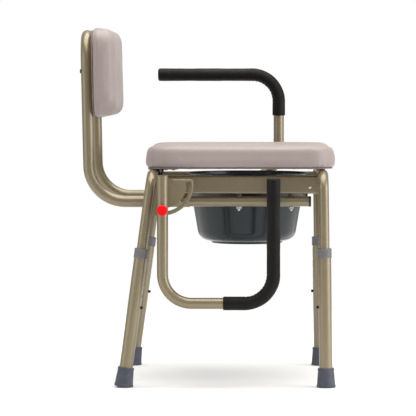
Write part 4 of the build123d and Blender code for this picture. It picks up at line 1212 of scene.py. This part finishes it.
def bolt_shell(head_top, axis, head, flat, shank, span, threaded, pitch):
    """Hexagon bolt from the top of its head to its tip. The head is the lesser of a hexagon and a cone,
    and the thread's radius is shank - depth * |2 frac(height / pitch - angle / 2 pi) - 1|."""
    depth, chamfer, blunt = 0.00045, 0.0012, 0.0009
    corner, first = flat * 1.16, span - threaded
    plain = evenly(soft_outline([
        (0.0, 0.0, 0), (flat * 0.9, 0.0, 0), (corner, head * 0.22, 0), (corner, head, 0),
        (shank, head, 0), (shank, first, 0),
    ]), 70, closed=False)
    steps = int(threaded / pitch * 8)
    screw = np.stack([np.full(steps, shank), np.linspace(first, span - chamfer, steps)], -1)
    point = np.array([[shank * 0.55, span], [0.0, span]])
    profile = np.vstack([[[0.0, 0.0]], plain[2:], screw, point])

    def shape(angle, radius, height):
        cut = depth * np.abs(2 * ((height / pitch - angle / (2 * pi)) % 1) - 1)
        fade = np.clip((height - first) / (2 * pitch), 0, 1) * (height < span - blunt)
        hexed = np.minimum(radius, hexagon(angle, flat))
        return np.where(height <= head, hexed, radius - cut * fade)

    return turned(profile, head_top, axis, 36, flute=shape)


def pan_shell(seat, out, radius, height):
    """Pan head: a dome whose height falls as (1 - share ** 4), less a cross-shaped recess."""
    share_out = np.linspace(0, 1, 26)[1:]
    angle = np.linspace(0, 2 * pi, 64, endpoint=False)
    side = unit(np.cross(out, UP if abs(out[2]) < 0.9 else ACROSS))
    third = np.cross(out, side)
    u = share_out[:, None] * np.cos(angle) * radius
    v = share_out[:, None] * np.sin(angle) * radius
    arm, reach, slope, deep = radius * 0.13, radius * 0.55, radius * 0.10, height * 0.55
    first_slot = np.maximum(np.abs(u) - arm, np.abs(v) - reach)
    second_slot = np.maximum(np.abs(v) - arm, np.abs(u) - reach)
    sunk = np.clip(0.5 - np.minimum(first_slot, second_slot) / slope, 0, 1) * deep
    rise = height * (1 - share_out[:, None] ** 4) - sunk
    base = seat - out * 0.0004
    dome = seat + rise[..., None] * out + u[..., None] * side + v[..., None] * third
    skirt = base + u[-1][:, None] * side + v[-1][:, None] * third
    recess = seat + out * (height - deep)
    return grid_shell(np.concatenate([dome, skirt[None]]), start_cap=recess, end_cap=base)


def rivet_shell(seat, out, radius):
    """Round-headed rivet: a shallow dome with a small rolled edge."""
    sunk = 0.0003
    profile = soft_outline([
        (0.0, radius * 0.62, 0), (radius * 0.62, radius * 0.56, radius * 0.4),
        (radius, radius * 0.1, radius * 0.12), (radius, -sunk, 0), (0.0, -sunk, 0),
    ], 9)
    return turned(profile, seat, out, 32)


class CHAIR_OT_fasteners(Operator):
    """Threaded rail bolts, rail rivets and cross-recessed screws"""
    bl_idname = "chair.fasteners"
    bl_label = "Fasteners"

    def execute(self, context):
        self.bolts(context.scene.chair_metal.thread)
        self.rivets()
        self.screws()
        return {"FINISHED"}

    def bolts(self, pitch):
        """Hexagon bolts, heads up, that hang the lower rails from the channels."""
        flat, shank, head, threaded, row = 0.005, 0.003, 0.004, 0.016, 0.165
        corner = 0.0055
        low, high = node_box("rail_bolts")
        shells = [
            bolt_shell(np.array([x, y, high[2]]), -UP, head, flat, shank, high[2] - low[2], threaded, pitch)
            for x in (low[0] + corner, high[0] - corner) for y in (-row, row)]
        piece = put_piece("rail_hex_bolts", shells, "zinc_steel", 28.0)
        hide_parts("rail_bolts")
        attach(piece, "frame")

    def rivets(self):
        """A round-headed rivet on the outer face of each channel, near its front end."""
        setback, below, radius = 0.034, 0.0055, 0.0033
        shells = []
        for side, way in SIDES.items():
            low, high = node_box(f"{side}_seat_rail")
            web = high[1] if way > 0 else low[1]
            spot = np.array([high[0] - setback, web, (low[2] + high[2]) / 2 - below])
            shells.append(rivet_shell(spot, ACROSS * way, radius))
        piece = put_piece("rail_rivets", shells, "zinc_steel")
        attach(piece, "frame")

    def screws(self):
        """Pan-headed back screws in place of the plain ones, shanks and all."""
        radius, height, shank, point, overlap = 0.0052, 0.0024, 0.0025, 0.003, 0.0003
        low, high = node_box("back_screws")
        out = unit(-back_plane()[2])
        span = high[0] - low[0] - 2 * radius * abs(out[2])
        tip = overlap + height - span
        profile = np.array([[0.0, overlap], [shank, overlap], [shank, tip + point], [0.0, tip]])
        shells = []
        for way in (-1, 1):
            middle = (low + high) / 2 * (1, 0, 1) + ACROSS * way * (high[1] - radius)
            seat = middle + out * (span / 2 - height)
            shells.append(pan_shell(seat, out, radius, height))
            shells.append(turned(evenly(profile, 40, closed=False), seat, out, 20))
        piece = put_piece("back_screw_heads", shells, "black_steel")
        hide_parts("back_screws")
        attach(piece, "frame")


# ---------------------------------------------------------------- finishes of the frame's own parts
class CHAIR_OT_finishes(Operator):
    """Paint, plate and plastic for the parts that keep the frame's own shape"""
    bl_idname = "chair.finishes"
    bl_label = "Finishes"

    def execute(self, context):
        for part in frame["record"]["subparts"]:
            node = frame["nodes"][part["node"]]
            finish = finish_for(part["material_slot"])
            if not node.data.materials:
                node.data.materials.append(finish)
            for place in range(len(node.data.materials)):
                node.data.materials[place] = finish
        return {"FINISHED"}


# ---------------------------------------------------------------- studio
def soft_box(name, power, size, spot, target, tint=(1.0, 1.0, 1.0)):
    """Square area light at a spot, aimed at a target."""
    light = bpy.data.lights.new(name, "AREA")
    light.energy, light.size, light.color = power, size, tint
    lamp = bpy.data.objects.new(name, light)
    x, y, z = np.subtract(target, spot)
    lamp.location = spot
    lamp.rotation_euler = (atan2(hypot(x, y), -z), 0.0, atan2(y, x) - pi / 2)
    bpy.context.scene.collection.objects.link(lamp)


class CHAIR_OT_studio(Operator):
    """White floor, soft lights and the camera"""
    bl_idname = "chair.studio"
    bl_label = "Studio"

    def execute(self, context):
        scene, sizes = context.scene, context.scene.chair_studio
        scene.view_settings.view_transform = "Standard"
        camera = bpy.data.objects.new("camera", bpy.data.cameras.new("camera"))
        camera.data.lens, camera.data.clip_end = sizes.lens, 100.0
        camera.location = (sizes.beside, -sizes.distance, sizes.height)
        camera.rotation_euler = (pi / 2 - sizes.down, 0.0, sizes.turn)
        scene.collection.objects.link(camera)
        scene.camera = camera
        self.floor()
        self.room(scene, sizes.ambient)
        middle = (0.0, 0.0, 0.4)
        soft_box("front_light", sizes.front, 2.8, (3.2, -1.2, 1.2), middle, (1.0, 0.985, 1.0))
        soft_box("rear_light", sizes.rear, 2.6, (-3.2, -1.6, 1.0), middle)
        soft_box("top_light", sizes.top, 3.2, (0.1, -0.1, 3.0), (0.0, 0.0, 0.0), (1.0, 0.98, 0.93))
        return {"FINISHED"}

    def floor(self):
        """Plain pale floor: a flat square just under the feet."""
        half, below = 1.8, 0.0003
        corners = [(half * x, half * y, -below) for x, y in ((-1, -1), (1, -1), (1, 1), (-1, 1))]
        mesh = bpy.data.meshes.new("studio_floor")
        mesh.from_pydata(corners, [], [(0, 1, 2, 3)])
        finish = Finish("studio_floor", (0.93, 0.93, 0.93), 0.7)
        finish.gloss(finish.noise(3.0, 2.0), 0.66, 0.74)
        mesh.materials.append(finish.material)
        ground = bpy.data.objects.new("studio_floor", mesh)
        bpy.context.scene.collection.objects.link(ground)

    def room(self, scene, ambient):
        """White room: even white where it is seen, and softer light from it on the chair."""
        world = bpy.data.worlds.new("studio_room")
        world.use_nodes = True
        scene.world = world
        tree = world.node_tree
        seen = tree.nodes["Background"]
        seen.inputs["Color"].default_value = (1.0, 1.0, 1.0, 1.0)
        seen.inputs["Strength"].default_value = 1.0
        light = tree.nodes.new("ShaderNodeBackground")
        light.inputs["Color"].default_value = (1.0, 1.0, 1.0, 1.0)
        light.inputs["Strength"].default_value = ambient
        path, mix = tree.nodes.new("ShaderNodeLightPath"), tree.nodes.new("ShaderNodeMixShader")
        tree.links.new(path.outputs["Is Camera Ray"], mix.inputs["Fac"])
        tree.links.new(light.outputs["Background"], mix.inputs[1])
        tree.links.new(seen.outputs["Background"], mix.inputs[2])
        tree.links.new(mix.outputs["Shader"], tree.nodes["World Output"].inputs["Surface"])


OPERATORS = (
    CHAIR_OT_studio, CHAIR_OT_finishes, CHAIR_OT_seat_pad, CHAIR_OT_seat_underside, CHAIR_OT_back_pad,
    CHAIR_OT_back_rear, CHAIR_OT_grips, CHAIR_OT_feet, CHAIR_OT_collars, CHAIR_OT_bucket,
    CHAIR_OT_lock_springs, CHAIR_OT_leaf_springs, CHAIR_OT_plate_beads, CHAIR_OT_welds, CHAIR_OT_fasteners,
)


class CHAIR_PT_pieces(Panel):
    """Lists the chair's pieces and their sizes"""
    bl_idname = "CHAIR_PT_pieces"
    bl_label = "Commode chair"
    bl_space_type = "VIEW_3D"
    bl_region_type = "UI"
    bl_category = "Chair"

    def draw(self, context):
        layout = self.layout
        for group in GROUPS:
            box = layout.box()
            sizes = getattr(context.scene, f"chair_{group}")
            for name in sizes.__annotations__:
                box.prop(sizes, name)
        for operator in OPERATORS:
            layout.operator(operator.bl_idname)


def register():
    """Registers the classes and hangs the groups of sizes on the scene."""
    for kind in (*GROUPS.values(), *OPERATORS, CHAIR_PT_pieces):
        bpy.utils.register_class(kind)
    for group, kind in GROUPS.items():
        setattr(bpy.types.Scene, f"chair_{group}", PointerProperty(type=kind))


def unregister():
    """Takes the groups and the classes away again."""
    for group in GROUPS:
        delattr(bpy.types.Scene, f"chair_{group}")
    for kind in reversed((*GROUPS.values(), *OPERATORS, CHAIR_PT_pieces)):
        bpy.utils.unregister_class(kind)


def main():
    """Makes every piece in order."""
    register()
    for operator in OPERATORS:
        group, name = operator.bl_idname.split(".")
        getattr(getattr(bpy.ops, group), name)()


if __name__ == "__main__":
    main()
